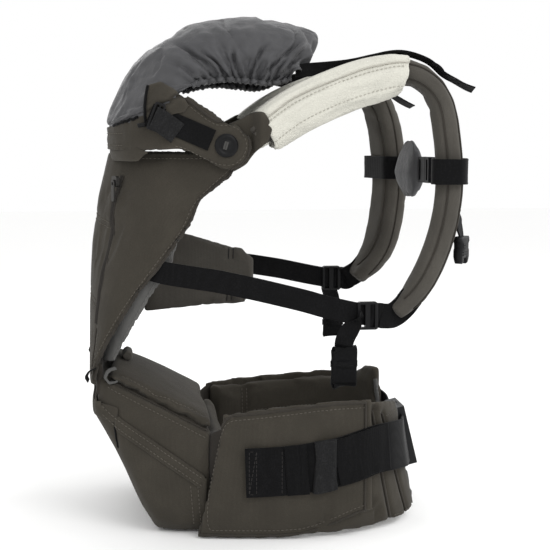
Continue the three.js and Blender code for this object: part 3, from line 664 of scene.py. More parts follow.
# Flat webbing with thicker selvedges and a slight waver; across(t) points along its width.
def webbing(name, path, across, wide, thick, waver=0.0, closed=False):
    wide, thick = wide * MM, thick * MM
    path = path if closed else smooth_path(path)
    count = len(path)
    edge = 0.0016
    half = wide / 2
    section = [(-half, 0.35), (-half + edge * 0.3, 0.5), (-half + edge, 0.5), (-half + edge * 1.5, 0.4),
               (-wide / 6, 0.42), (wide / 6, 0.42), (half - edge * 1.5, 0.4), (half - edge, 0.5),
               (half - edge * 0.3, 0.5), (half, 0.35)]
    ring = [(w, h * thick) for w, h in section] + [(w, -h * thick) for w, h in reversed(section)]
    points, faces = [], []
    for i, p in enumerate(path):
        t = i / (count - 1)
        before = path[(i - 1) % count] if closed else path[max(i - 1, 0)]
        after = path[(i + 1) % count] if closed else path[min(i + 1, count - 1)]
        along = (after - before).normalized()
        width = Vector(across(t))
        width = (width - along * width.dot(along)).normalized()
        normal = along.cross(width).normalized()
        for w, h in ring:
            ripple = waver * MM * noise.noise(Vector((w * 60, t * 9, thick * 900 + len(name))))
            points.append(p + width * w + normal * (h + ripple))
    n = len(ring)
    for i in range(count if closed else count - 1):
        for k in range(n):
            a = i * n + k
            b = i * n + (k + 1) % n
            shift = n if i < count - 1 else -i * n
            faces.append((a, b, b + shift, a + shift))
    if not closed:
        faces.append(tuple(range(n))[::-1])
        faces.append(tuple((count - 1) * n + k for k in range(n)))
    return new_object(name, points, faces)


def design_path(points, sign=1):
    return [row(sign * x, y, z) for x, y, z in points]


# ---- hip seat ----
SEAT_SIDE = ((-200, 174), (-170, 158.5), (-130, 138), (-90, 117.5))
POCKET_HEM = ((-206, 147), (-190, 133), (-152, 107), (-91, 64))
HEM_DROPS = (-2.5, -1, 2, 6, 10, 14, 15.5)  # heights across the hem band, below its top edge


def pocket_skin():
    solid = mesh_of_nodes("pocket_form", ["seat_foam_core", "seat_cover", "seat_front_pocket"])
    remesh(solid, 3.5 * MM)
    relax(solid, 0.5, 2)
    near = tree_of(NODES["seat_front_pocket"])
    kept = bmesh.new()
    kept.from_mesh(solid.data)
    far = [v for v in kept.verts if near.find_nearest(v.co)[3] > 1.9 * MM or v.co.z < 3.4 * MM]
    bmesh.ops.delete(kept, geom=far, context="VERTS")
    # keeps the outside face only
    pieces = [f for f in kept.faces if near.find_nearest(f.calc_center_median())[1].dot(f.normal) < 0.2]
    bmesh.ops.delete(kept, geom=pieces, context="FACES")
    kept.to_mesh(solid.data)
    kept.free()
    return solid


def make_seat():
    seat = pad("seat_boot", ["seat_foam_core", "seat_cover"], 5, 3.0, 2.2, 0.02, 4)
    cushion = pad("seat_top_pad", ["seat_cushion"], 4, 4.0, 4.0, 0.03, 4)
    lumbar = pad("stomach_pad", ["lumbar_pad"], 4.5, 4.0, 4.0, 0.03, 4)
    foot = pad("panel_foot_roll_soft", ["panel_foot_roll"], 2.5, 3.0, 1.5, 0.04, 3)
    pocket = pocket_skin()
    return seat, cushion, lumbar, foot, pocket


def finish_seat(parts):
    seat, cushion, lumbar, foot, pocket = parts
    for obj in (seat, cushion, lumbar, foot):
        subdivide(obj)
    for vertex in lumbar.data.vertices:
        vertex.co.x *= 0.93
        vertex.co.z *= 0.90
    for vertex in pocket.data.vertices:
        vertex.co += vertex.normal * (0.8 * MM + 1.6 * MM * noise.noise(vertex.co * 22))
    thicken(pocket, 2.2)
    relax(pocket, 0.4, 2)
    shell = MATERIALS["shell_fabric"]
    finish(seat, "seat_unit", shell, ("seat_foam_core", "seat_cover"))
    finish(cushion, "seat_unit", shell, ("seat_cushion",))
    finish(lumbar, "seat_unit", shell, ("lumbar_pad",))
    finish(foot, "seat_unit", STRAP_FABRIC, ("panel_foot_roll",))
    finish(pocket, "seat_unit", shell, ("seat_front_pocket",))
    for side, s in SIDES:
        edge = design_path([(160, y, z) for y, z in SEAT_SIDE], s)
        inwards = (-s, 0, 0)
        sew(f"seat_edge_piping_{side}", seat, "seat_unit", edge, inwards, "pipe", 0.0012, 0.003)
        lower = design_path([(160, y, z - 8) for y, z in SEAT_SIDE], s)
        sew(f"seat_edge_stitch_{side}", seat, "seat_unit", lower, inwards)
        for k, y in enumerate((-97, -105)):
            upright = design_path([(160, y - 4, 58), (160, y - 2, 30), (160, y, 8)], s)
            sew(f"pocket_side_stitch_{k}_{side}", pocket, "seat_unit", upright, inwards, depth=0.0006)
        slit = design_path([(160, -192, 122), (160, -191, 110), (160, -189, 97)], s)
        sew(f"pocket_zip_{side}", pocket, "seat_unit", slit, inwards, "pipe", 0.0015, 0.003,
            MATERIALS["webbing"], 0.0012)
    lip = [row(x, -200 + 0.00035 * x * x, 260) for x in range(-80, 81, 20)]
    sew("cushion_front_stitch", cushion, "seat_unit", lip, (0, 0, -1), depth=0.0012, width=0.004)
    for side, s in SIDES:
        edge = [row(s * x, y, 260) for x, y in ((88, -184), (97, -150), (101, -94))]
        sew(f"cushion_edge_stitch_{side}", cushion, "seat_unit", edge, (0, 0, -1), depth=0.0012, width=0.004)
    finish_hem_band(seat, pocket)
    finish_foot_gusset()


# Wide turned hem along the mouth of the pocket, from one side of the seat round the front to the other.
def finish_hem_band(seat, pocket):
    trees = [tree_of(seat), tree_of(pocket)]
    stations = []
    for y in range(-91, -197, -7):
        stations.append(((170, y), (-1, 0), y))
    for k in range(1, 6):
        a = math.radians(18 * k)
        reach = (math.cos(a), -math.sin(a))
        stations.append(((80 + 90 * reach[0], -176 + 90 * reach[1]), (-reach[0], -reach[1]), -197 - 2 * k))
    for x in range(72, -1, -12):
        stations.append(((x, -280), (0, 1), -208))
    heights = dict((round(y), z) for y, z in POCKET_HEM)
    levels = sorted(heights.items())
    rows = []
    for (x, y), (dx, dy), at in stations:
        hem = levels[0][1]
        for (y0, z0), (y1, z1) in zip(levels, levels[1:]):
            if y0 <= at <= y1:
                hem = blend_value(z0, z1, (at - y0) / (y1 - y0))
        cells = []
        for drop in HEM_DROPS:
            start, way = row(x, y, hem - drop), Vector((dx, dy, 0))
            hits = [tree.ray_cast(start, way) for tree in trees]
            hits = [(h[3], h[0]) for h in hits if h[0] is not None]
            if not hits:
                break
            tuck = 0.4 if drop in (HEM_DROPS[0], HEM_DROPS[-1]) else 2.0
            cells.append(min(hits, key=lambda hit: hit[0])[1] - way * tuck * MM)
        if len(cells) == len(HEM_DROPS):
            rows.append(cells)
    rows += [[Vector((-p.x, p.y, p.z)) for p in cells] for cells in rows[-2::-1]]
    points = [p for cells in rows for p in cells]
    band = new_object("pocket_hem_band", points, grid_faces(len(rows) - 1, len(HEM_DROPS) - 1))
    relax(band, 0.5, 3)
    thicken(band, 1.6)
    subdivide(band)
    finish(band, "seat_unit", MATERIALS["shell_fabric"])
    for side, s in SIDES:
        for k, drop in enumerate((2, 11)):
            hem = design_path([(160, y, z - drop) for y, z in POCKET_HEM], s)
            sew(f"pocket_hem_stitch_{k}_{side}", band, "seat_unit", hem, (-s, 0, 0), depth=0.0005)


# Cloth that closes the fold between the seat and the foot of the panel.
def finish_foot_gusset():
    points = []
    across, high = 30, 8
    for i in range(across + 1):
        x = blend_value(-84, 84, i / across)
        for j in range(high + 1):
            t = j / high
            points.append(row(x, -208.5 + 1.5 * math.sin(math.pi * t), blend_value(156, 190, t)))
    fold = new_object("panel_foot_gusset", points, grid_faces(across, high))
    thicken(fold, 7)
    fold.data.materials.append(MATERIALS["dark_fabric"])
    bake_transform(fold)


# ---- waist belt ----
# Upper and lower edge of a node as seen along X: lists of (y, low z, high z) in the row frame.
def side_profile(node, sign, columns=22):
    tree = tree_of(NODES[node])
    (_, y0, _), (_, y1, z1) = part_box(node)
    found = []
    step = 1.0 * MM
    for i in range(columns + 1):
        y = blend_value(y0 + 1.5 * MM, y1 - 1.5 * MM, i / columns)
        heights = []
        z = 0.0
        while z < z1 + step:
            if tree.ray_cast(Vector((sign * 0.5, y, z)), Vector((-sign, 0, 0)), 0.46)[0]:
                heights.append(z)
            z += step
        if heights:
            found.append((y, heights[0], heights[-1]))
    return found


# A closed outline at a distance inside a side profile.
def inset_outline(profile_list, sign, inset):
    inset *= MM
    inner = [c for c in profile_list if c[0] < profile_list[-1][0] - inset]
    inner = [c for c in inner if c[2] - c[1] > 2.4 * inset]
    top = [Vector((sign * 0.3, y, high - inset)) for y, low, high in inner]
    low = [Vector((sign * 0.3, y, low + inset)) for y, low, high in inner]
    return top, low


def make_belt():
    parts = {}
    for side, _ in SIDES:
        wing, cover = f"belt_wing_pad_{side}", f"belt_outer_cover_{side}"
        parts["wing", side] = pad(f"wing_{side}_soft", [wing], 4.5, 4.0, 3.5, 0.03, 3)
        parts["cover", side] = pad(f"wing_cover_{side}_soft", [cover], 2.6, 2.5, 1.8, 0.03, 2)
    return parts


def finish_belt(parts):
    shell = MATERIALS["shell_fabric"]
    for side, s in SIDES:
        body = f"wing_{side}"
        wing, cover = parts["wing", side], parts["cover", side]
        subdivide(wing)
        finish(wing, body, shell, (f"belt_wing_pad_{side}",))
        finish(cover, body, shell, (f"belt_outer_cover_{side}",))
        inwards = (-s, 0, 0)
        shape = side_profile(f"belt_outer_cover_{side}", s)
        for kind, inset in (("pipe", 2.0), ("stitch", 7.5)):
            top, low = inset_outline(shape, s, inset)
            loop = rounded(low[::-1] + top, 1)
            sew(f"wing_cover_{kind}_{side}", cover, body, loop, inwards, kind, 0.0007, 0.0022, radius=0.0013)
            rear = rounded([top[-1], top[-1].lerp(low[-1], 0.1), top[-1].lerp(low[-1], 0.9), low[-1]], 1)
            sew(f"wing_cover_rear_{kind}_{side}", cover, body, rear, inwards, kind, 0.0007, 0.0022,
                radius=0.0013)
        # seams on the face towards the wearer
        outwards = (s, 0, 0)
        for k, y in enumerate((-28, -22)):
            seam = [row(s * 20, y, 12), row(s * 20, y, 70), row(s * 20, y, 134)]
            sew(f"wing_inner_stitch_{k}_{side}", wing, body, seam, outwards, depth=0.0014, width=0.004)
        for k, z in enumerate((44, 88)):
            line = [row(s * 20, -14, z), row(s * 20, 40, z + 4), row(s * 20, 92, z + 8)]
            sew(f"wing_inner_channel_{k}_{side}", wing, body, line, outwards, depth=0.0014, width=0.005)
        for k, z in enumerate((12, 128)):
            line = [row(s * x, 250, z) for x in (66, 80, 96, 112)]
            sew(f"wing_rear_stitch_{k}_{side}", wing, body, line, (0, -1, 0), depth=0.0010, width=0.003)
        for k, (y, tilt, z_top) in enumerate(((100, 1.2, 138), (116, 1.7, 132))):
            steps = ((17, 8), (11, 40), (4, 80), (0, 110), (-4, z_top))
            layer = [row(s * 200, y + tilt * lean, z) for lean, z in steps]
            sew(f"wing_rear_layer_{k}_{side}", wing, body, layer, inwards, "pipe", 0.0034, 0.0045,
                radius=0.0016)
        end = ((154, 12), (150, 40), (142, 80), (133, 120), (131, 138))
        near = nearest_line(tree_of(wing), [row(s * 60, y + 4, z) for y, z in end])
        finish(tube(f"wing_end_binding_{side}", [near], 0.0026, 8, 0.0004), body, MATERIALS["lining"])


# Cloth that joins each wing of the belt to the back corner of the seat.
def make_wing_roots():
    plan = ((104, -86), (113, -85), (119, -81), (124, -76), (129, -70), (131, -62))
    high = 14
    for side, s in SIDES:
        points = []
        for i, (x, y) in enumerate(plan):
            top = blend_value(112, 128, i / (len(plan) - 1))
            for j in range(high + 1):
                z = blend_value(6, top, j / high)
                points.append(row(s * (x + 0.8 * noise.noise(Vector((i * 0.7, j * 0.5, 3)))), y, z))
        root = new_object(f"wing_root_{side}", points, grid_faces(len(plan) - 1, high))
        thicken(root, 5)
        subdivide(root)
        root.data.materials.append(MATERIALS["dark_fabric"])
        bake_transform(root)


WEB_OUT = 145.6


def make_waist_webbing():
    rear_y = {"left": 131, "right": 140}
    for side, s in SIDES:
        body = f"wing_{side}"
        rear = rear_y[side]
        path = [(WEB_OUT - 3, -50, 76), (WEB_OUT - 1, -20, 77), (WEB_OUT, 10, 79), (WEB_OUT, 32, 82.5),
                (WEB_OUT - 1.5, 55, 86), (WEB_OUT - 5, 78, 91.5), (WEB_OUT - 12, 97, 96), (124, 116, 97),
                (104, rear + 3, 95), (84, rear + 10, 92), (66, rear + 14, 88), (38, 153, 84),
                (24 if s > 0 else 30, 154, 84)]
        strip = webbing(f"waist_webbing_{side}_soft", design_path(path, s),
                        lambda t: (0, -0.16 * ease(t), 1), 55, 2, 1.2)
        finish(strip, body, MATERIALS["webbing"], (f"waist_webbing_{side}",))
        # the sewn front layer ends in a lifted lip, and the adjustable layer comes out from under the fold
        lip = [(WEB_OUT + 1.6, -6, 78), (WEB_OUT + 2.2, 8, 79), (WEB_OUT + 3.6, 13, 79.6),
               (WEB_OUT + 4.6, 18, 80)]
        finish(webbing(f"waist_webbing_lip_{side}", design_path(lip, s), lambda t: (0, 0.05, 1), 56, 1.4,
                       0.8), body, MATERIALS["webbing"])
        fold = [(WEB_OUT + 0.6, 27, 81), (WEB_OUT + 3.2, 27.5, 81), (WEB_OUT + 4.3, 31, 81.5),
                (WEB_OUT + 4.2, 40, 83), (WEB_OUT + 3.4, 47, 84.5), (WEB_OUT + 1.2, 50, 85)]
        # the keeper fold uses the lighter webbing copy, a painted highlight on the fold
        keeper = webbing(f"waist_keeper_{side}_soft", design_path(fold, s), lambda t: (0, 0.10, 1), 58, 1.8,
                         0.5)
        finish(keeper, body, LIT_FOLD_WEBBING, (f"waist_webbing_keeper_{side}",))
        over = [(WEB_OUT + 1.6, 50, 85), (WEB_OUT + 0.2, 62, 87.5), (WEB_OUT - 3, 78, 91.5),
                (WEB_OUT - 9.5, 96, 96), (126.5, 114, 97.5)]
        finish(webbing(f"waist_webbing_over_{side}", design_path(over, s), lambda t: (0, 0.02 - 0.1 * t, 1),
                       52, 1.6, 1.0), body, MATERIALS["webbing"])
        tree = tree_of(strip)
        lines = []
        seams = ((-46, 52, -46, 100), (-38, 52, -38, 100), (-46, 52, -38, 52), (-46, 100, -38, 100),
                 (-46, 52, -38, 100), (-10, 52, -10, 102))
        for y0, z0, y1, z1 in seams:
            seam = [row(s * 200, y0, z0), row(s * 200, y1, z1)]
            lines += unbroken(throw(tree, seam, (-s, 0, 0), 0.001), 0.006)
        finish(stitches(f"waist_webbing_stitch_{side}", lines), body, DARK_THREAD)


# ---- body panel ----
LEG_EDGE = ((168, -215), (186, -212), (199, -205), (221, -194), (258, -172), (306, -136), (342, -107),
            (372, -96), (411, -50), (424, -46))
PANEL_HALF = ((168, 88), (260, 101), (330, 105), (424, 101))
LINER_EDGE = ((194, -188), (221, -175), (258, -154), (290, -136), (330, -112), (352, -102))


def read_profile(points, z):
    for (z0, a), (z1, b) in zip(points, points[1:]):
        if z <= z1:
            t = clamp((z - z0) / (z1 - z0))
            return blend_value(a, b, 0.35 * ease(t) + 0.65 * t)
    return points[-1][1]


def make_panel():
    shell = pad("panel_shell_soft", ["body_panel_shell"], 3.2, 3.0, 2.4, 0.03, 2)
    liner = pad("panel_liner_soft", ["body_panel_liner"], 3.6, 3.0, 2.4, 0.03, 2)
    left = pad("leg_edge_left_soft", ["leg_pad_left"], 4, 4.0, 2.5, 0.03, 3)
    right = pad("leg_edge_right_soft", ["leg_pad_right"], 3.6, 4.0, 4.0, 0.04, 3)
    return shell, liner, left, right


def make_zip(shell):
    tree = tree_of(shell)
    middle = [row(62.4, -260, 399), row(69.3, -260, 300), row(74, -260, 234)]
    landed = throw(tree, middle, (0, 1, 0), 0.0011)
    tape = webbing("panel_zip_tape_soft", [p for p, _ in landed[:: len(landed) // 24]],
                   lambda t: (0.76, 0.6, 0), 8, 1.0)
    finish(tape, "panel", MATERIALS["dark_fabric"], ("panel_zip_tape",))
    points, faces = [], []
    for i, (place, normal) in enumerate(landed):
        side = Vector((normal.y, -normal.x, 0)).normalized() * (-1 if i % 2 else 1)
        if place.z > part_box("panel_zip_slider")[1][2]:
            continue
        up = Vector((0, 0, 1))
        start = len(points)
        for k in range(8):
            a = math.pi * k / 4
            reach = side * 0.0011 * (1 + math.cos(a)) * 0.5
            points.append(place + normal * (0.0004 + 0.0005 * math.sin(a)) + reach + up * 0.0004)
            points.append(place + normal * (0.0004 + 0.0005 * math.sin(a)) + reach - up * 0.0004)
        for k in range(8):
            a, b = start + 2 * k, start + 2 * ((k + 1) % 8)
            faces.append((a, b, b + 1, a + 1))
        faces.append(tuple(start + 2 * k for k in range(8)))
        faces.append(tuple(start + 2 * k + 1 for k in range(8))[::-1])
    finish(new_object("panel_zip_teeth", points, faces), "panel", DARK_THREAD)


def finish_panel(parts):
    shell, liner, left, right = parts
    subdivide(left)
    subdivide(right)
    tucked = row(0, -100, 0).y
    for vertex in right.data.vertices:
        vertex.co.y -= 8 * MM * clamp((tucked - vertex.co.y) / (40 * MM))
    fabric = MATERIALS["shell_fabric"]
    finish(shell, "panel", fabric, ("body_panel_shell",))
    finish(liner, "panel", MATERIALS["lining"], ("body_panel_liner",))
    finish(left, "panel", STRAP_FABRIC, ("leg_pad_left",))
    finish(right, "panel", STRAP_FABRIC, ("leg_pad_right",))
    for side, s in SIDES:
        edge = [row(s * (read_profile(PANEL_HALF, z) + 1), y + 1, z) for z, y in LEG_EDGE]
        landed = nearest_line(tree_of(shell), rounded(edge, 2))
        finish(tube(f"panel_leg_piping_{side}", [landed], 0.0018, 8, 0.0006), "panel", PIPING)
        beside = [row(s * 200, y - 7, z) for z, y in LEG_EDGE]
        sew(f"panel_leg_stitch_{side}", shell, "panel", rounded(beside, 2), (-s, 0, 0), depth=0.0009)
        trim = [row(s * 200, y, z) for z, y in LINER_EDGE]
        inset = [p - Vector((0, 5 * MM, 0)) for p in rounded(trim, 2)]
        sew(f"liner_stitch_{side}", liner, "panel", inset, (-s, 0, 0), depth=0.0010, width=0.003,
            material=LINER_THREAD)
        if s < 0:
            seam = [row(-67, -260, 402), row(-70, -260, 330), row(-74, -260, 260), row(-76, -260, 190)]
        else:
            seam = [row(74, -260, 229), row(76, -260, 205), row(77, -260, 178)]
        sew(f"panel_front_seam_{side}", shell, "panel", seam, (0, 1, 0), "pipe", 0.0012, 0.003, radius=0.0008)
        for k, x in enumerate((82, 60)):
            line = [row(s * x, -260, z) for z in (226, 205, 180)]
            sew(f"panel_front_stitch_{k}_{side}", shell, "panel", line, (0, 1, 0), depth=0.0006)
        top = [row(s * 200, y, 419 if y < -90 else 418) for y in (-170, -130, -96, -60)]
        sew(f"panel_top_stitch_{side}", shell, "panel", top, (-s, 0, 0), depth=0.0010)
    # seams that cross the outer face of the panel
    for k, z in enumerate((250, 256, 338, 344)):
        line = [row(x, -300, z + 10 * math.cos(x / 48)) for x in range(-66, 67, 6)]
        sew(f"panel_cross_stitch_{k}", shell, "panel", line, (0, 1, 0), depth=0.0010, width=0.003)
    for k, z in enumerate((238, 284, 330)):
        line = [row(x, -120, z) for x in range(-60, 61, 10)]
        sew(f"liner_channel_{k}", liner, "panel", line, (0, -1, 0), depth=0.0016, width=0.005,
            material=LINER_THREAD)
    for k, at in enumerate((-50, -44)):
        line = [row(-200, at + step, z) for step, z in enumerate((236, 262, 290, 312))]
        sew(f"leg_edge_stitch_{k}", right, "panel", line, (1, 0, 0), depth=0.0014, width=0.003)
        for part, (a, b) in (("low", (0, 1)), ("high", (2, 3))):
            slit = [Vector((0, p.y, p.z)) for p in line[a:b + 1]]
            sew(f"leg_edge_slit_{part}_{k}", right, "panel", slit, (-1, 0, 0), "pipe", 0.0014, 0.003,
                DARK_THREAD, 0.0007)
    # sewn loop at the foot of the lining, on each side
    for side, s in SIDES:
        loop = [(89, -190, 186), (91, -197, 184), (92, -201, 179), (92, -200, 173), (91, -195, 170),
                (89, -189, 172)]
        finish(webbing(f"panel_foot_loop_{side}", design_path(loop, s), lambda t: (1, 0.2, 0), 8, 2.4, 0.8),
               "panel", MATERIALS["lining"])
        tab = [(88, -213, 186), (91, -219, 183), (92, -222, 178), (91, -220, 173)]
        finish(webbing(f"pocket_pull_tab_{side}", design_path(tab, s), lambda t: (1, -0.3, 0), 9, 1.4, 0.3),
               "panel", MATERIALS["webbing"])


# ---- headrest and hood ----
HEADREST_HALF = 111
HOOD_TOP = ((-194, 458), (-192, 474), (-176, 507), (-160, 532), (-134, 551.5), (-107, 565), (-67, 573),
            (-11, 575), (12, 572), (44, 557.5), (38, 543), (22, 531))
HOOD_GRID = (150, 120)
HOOD_SIDE = ((-118, 495), (-94, 501), (-65, 505), (-37, 503), (-12, 501), (6, 506))


def line_at(points):
    path = smooth_path([Vector((0, y, z)) for y, z in points], 12)
    lengths = [0.0]
    for a, b in zip(path, path[1:]):
        lengths.append(lengths[-1] + (b - a).length)

    def at(t):
        want = clamp(t) * lengths[-1]
        for i in range(1, len(path)):
            if lengths[i] >= want - 1e-9:
                span = max(1e-9, lengths[i] - lengths[i - 1])
                return path[i - 1].lerp(path[i], (want - lengths[i - 1]) / span)
        return path[-1].copy()

    return at


def hood_seam(a, lift=0.0):
    c = max(0.0, math.cos(a * math.pi / 2))
    x = HEADREST_HALF * abs(math.sin(a * math.pi / 2)) ** 0.72 * (1 if a >= 0 else -1)
    return Vector((x, -118 - 76 * c ** 0.8, 492 - 36 * c ** 0.55 + lift))


def hood_form(top_line, side_line, a, v):
    c = max(0.0, math.cos(a * math.pi / 2))
    top, edge = top_line(v), side_line(v)
    half = blend_value(HEADREST_HALF, 90, ease(v * 2))
    arch = Vector((half * abs(math.sin(a * math.pi / 2)) ** 0.72 * (1 if a >= 0 else -1),
                   blend_value(edge.y, top.y, c ** 0.8), blend_value(edge.z, top.z, c ** 0.62)))
    return arch.lerp(hood_seam(a), (1 - clamp(v * 3)) ** 2)


# Gathered nylon: fine pleats at the elastic edges, a puff above them and long creases up the roof.
def make_hood():
    top_line, side_line = line_at(HOOD_TOP), line_at(HOOD_SIDE)
    across, along = HOOD_GRID
    grid = []
    points = []
    for i in range(across + 1):
        a = math.sin(math.pi / 2 * (2 * i / across - 1))
        grid.append([hood_form(top_line, side_line, a, j / along) for j in range(along + 1)])
    for i in range(across + 1):
        u = i / across
        a = math.sin(math.pi / 2 * (2 * u - 1))
        rise = max(0.0, math.cos(a * math.pi / 2)) ** 0.62
        for j in range(along + 1):
            v = j / along
            p = grid[i][j]
            du = grid[min(i + 1, across)][j] - grid[max(i - 1, 0)][j]
            dv = grid[i][min(j + 1, along)] - grid[i][max(j - 1, 0)]
            normal = dv.cross(du)
            normal = normal.normalized() if normal.length > 1e-9 else Vector((0, 0, 1))
            if normal.dot(p - Vector((0, -70, 480))) < 0:
                normal = -normal
            open_part = ease((v - 0.16) / 0.12)
            wander = noise.noise(Vector((u * 3, v * 6, 1.7)))
            fine = math.sin(2 * math.pi * (14 * v + 0.7 * wander + 0.4 * rise))
            pleat = 4.0 * fine * math.exp(-((rise / 0.30) ** 2))
            long_crease = abs(math.sin(math.pi * (6.2 * v + 0.9 * wander + 0.25 * rise)))
            crease = 5.0 * (long_crease ** 0.6 - 0.6) * math.exp(-((rise / 0.62) ** 2))
            puff = 6.5 * ease(rise / 0.42) * (1 - ease((rise - 0.55) / 0.5))
            puff -= 2.0 * math.exp(-((rise / 0.12) ** 2))
            lip = ease((v - 0.80) / 0.2)
            fold = 4.5 * lip * math.sin(2 * math.pi * (7 * u + 0.8 * wander))
            crumple = 2.6 * noise.noise(Vector((u * 5, v * 9, 4.1)))
            crumple += 1.0 * noise.noise(Vector((u * 22, v * 24, 9)))
            out = open_part * (pleat + crease + puff * 0.8) + fold + crumple * ease(v / 0.1)
            points.append(p + normal * out)
    span = along + 1
    hood = new_object("hood_gathered", [row(*p) for p in points], grid_faces(across, along))
    flip_outwards(hood, row(0, -70, 470))
    edge_points = {}
    for name, i in (("left", across), ("right", 0)):
        edge_points[name] = [row(*points[i * span + j]) for j in range(int(along * 0.16), along + 1)]
    tree = KDTree(len(points))
    pinned = [k for k in range(len(points))
              if k // span < 3 or k // span > across - 3 or k % span < 3 or k % span > along - 2]
    for k in pinned:
        tree.insert(row(*points[k]), k)
    tree.balance()
    WAITING.append(dict(obj=hood, pressure=0.12, cap=3 * MM, grow=0.045,
                        pin=lambda p: 1.0 if tree.find(p)[2] < 0.0002 else 0.0))
    return hood, edge_points


def flip_outwards(obj, middle):
    mesh = obj.data
    outward = sum(1 if p.normal.dot(p.center - middle) > 0 else -1 for p in mesh.polygons)
    if outward < 0:
        mesh.flip_normals()


# Deep creases that run up from the elastic edge: (place along the hood, lean, how far up they reach).
CREASES = ((0.20, 0.10, 0.70), (0.33, 0.05, 0.80), (0.43, -0.04, 0.62), (0.53, 0.05, 0.55),
           (0.66, 0.10, 0.60), (0.74, 0.13, 0.75), (0.86, 0.06, 0.85))


def press_creases(hood):
    across, along = HOOD_GRID
    normals = [v.normal.copy() for v in hood.data.vertices]
    for i in range(across + 1):
        a = math.sin(math.pi / 2 * (2 * i / across - 1))
        rise = max(0.0, math.cos(a * math.pi / 2)) ** 0.62
        for j in range(along + 1):
            v = j / along
            sink = 0.0
            for k, (place, lean, reach) in enumerate(CREASES):
                shift = 0.02 * math.sin(5 * rise + k) + (0.015 if a > 0 else -0.01) * math.sin(3 * k)
                off = (v - place - lean * rise - shift) / 0.011
                window = ease(rise / 0.12) * (1 - ease((rise - reach + 0.2) / 0.2))
                sink += window * (4.2 * math.exp(-off * off) - 1.6 * math.exp(-((abs(off) - 2.0) ** 2)))
            vertex = hood.data.vertices[i * (along + 1) + j]
            vertex.co -= normals[vertex.index] * (sink * MM)


def finish_hood(hood, edges):
    press_creases(hood)
    thicken(hood, 0.9)
    finish(hood, "hood", MATERIALS["hood_fabric"], ("hood",))
    for side, points in edges.items():
        line = [(p, Vector((1 if side == "left" else -1, 0, 0.2)).normalized()) for p in points]
        hem = tube(f"hood_elastic_{side}", [line], 0.0032, 10)
        for vertex in hem.data.vertices:
            wave = math.sin(vertex.co.y * 2 * math.pi / 0.0058)
            ripple = 0.0012 * wave + 0.0008 * noise.noise(vertex.co * 160)
            vertex.co.z += ripple
            vertex.co.x += ripple * (0.8 if side == "left" else -0.8)
        subdivide(hem)
        finish(hem, "hood", MATERIALS["hood_fabric"])


def make_headrest():
    return pad("headrest_soft", ["headrest"], 3.0, 3.0, 2.6, 0.03, 2)


def finish_headrest(obj):
    finish(obj, "headrest", MATERIALS["shell_fabric"], ("headrest",))
    for side, s in SIDES:
        inwards = (-s, 0, 0)
        ring = [row(s * 200, -67 + 22 * math.sin(a), 433 + 22 * math.cos(a))
                for a in [math.radians(k) for k in range(0, 176, 8)]]
        upper = [row(s * 200, y, z) for y, z in ((-124, 483), (-110, 478), (-90, 462), (-78, 455))]
        lower = [row(s * 200, y, z) for y, z in ((-76, 412), (-95, 421), (-112, 430), (-124, 433))]
        sew(f"headrest_rim_stitch_{side}", obj, "headrest", upper + ring + lower, inwards, depth=0.0009)
        pipe = [row(s * 200, -67 + 25.6 * math.sin(a), 433 + 25.6 * math.cos(a))
                for a in [math.radians(k) for k in range(0, 170, 8)]]
        top = [row(s * 200, y, z) for y, z in ((-122, 487), (-108, 481.5), (-88, 465.5), (-77, 459))]
        sew(f"headrest_rim_piping_{side}", obj, "headrest", top + pipe, inwards, "pipe", 0.0, radius=0.0012)
        zip_line = [hood_seam(s * (0.30 + 0.36 * k / 16), -2) for k in range(17)]
        near = nearest_line(tree_of(obj), [row(p.x * 1.03, p.y - 3, p.z) for p in zip_line])
        finish(tube(f"hood_zip_{side}", [near], 0.0016, 8, 0.0008), "headrest", MATERIALS["webbing"])
    for k, z in enumerate((433, 446)):
        band = [row(x, -300, z) for x in range(-84, 85, 6)]
        sew(f"headrest_front_stitch_{k}", obj, "headrest", band, (0, 1, 0), depth=0.0010, width=0.003)


# Cloth between the panel and the headrest, across the fold, and the band that the hood is zipped to.
def make_gussets():
    points = []
    across, high = 80, 8
    for i in range(across + 1):
        a = 0.74 * (2 * i / across - 1)
        base = hood_seam(a)
        for j in range(high + 1):
            t = j / high
            fade = ease((0.74 - abs(a)) / 0.12)
            tuck = 3.2 - 1.6 * math.sin(math.pi * t)
            inward = Vector((-base.x, -60 - base.y, 0)).normalized() * tuck
            z = blend_value(425.5 - 9.5 * fade, 425.5 + 9.5 * fade, t)
            points.append(row(base.x + inward.x, base.y + inward.y, z))
    neck = new_object("neck_gusset", points, grid_faces(across, high))
    thicken(neck, 2.0)
    neck.data.materials.append(MATERIALS["shell_fabric"])
    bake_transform(neck)
    points = []
    section = ((-9, -1.8), (-4, -0.6), (1, -0.9), (5, -2.6))
    for i in range(across + 1):
        a = 0.985 * (2 * i / across - 1)
        for lift, out in section:
            p = hood_seam(a, lift)
            away = Vector((p.x, p.y + 60, 0)).normalized() * out
            points.append(row(p.x + away.x, p.y + away.y, p.z))
    band = new_object("hood_zip_band", points, grid_faces(across, len(section) - 1))
    thicken(band, 1.2)
    finish(band, "headrest", MATERIALS["hood_fabric"])


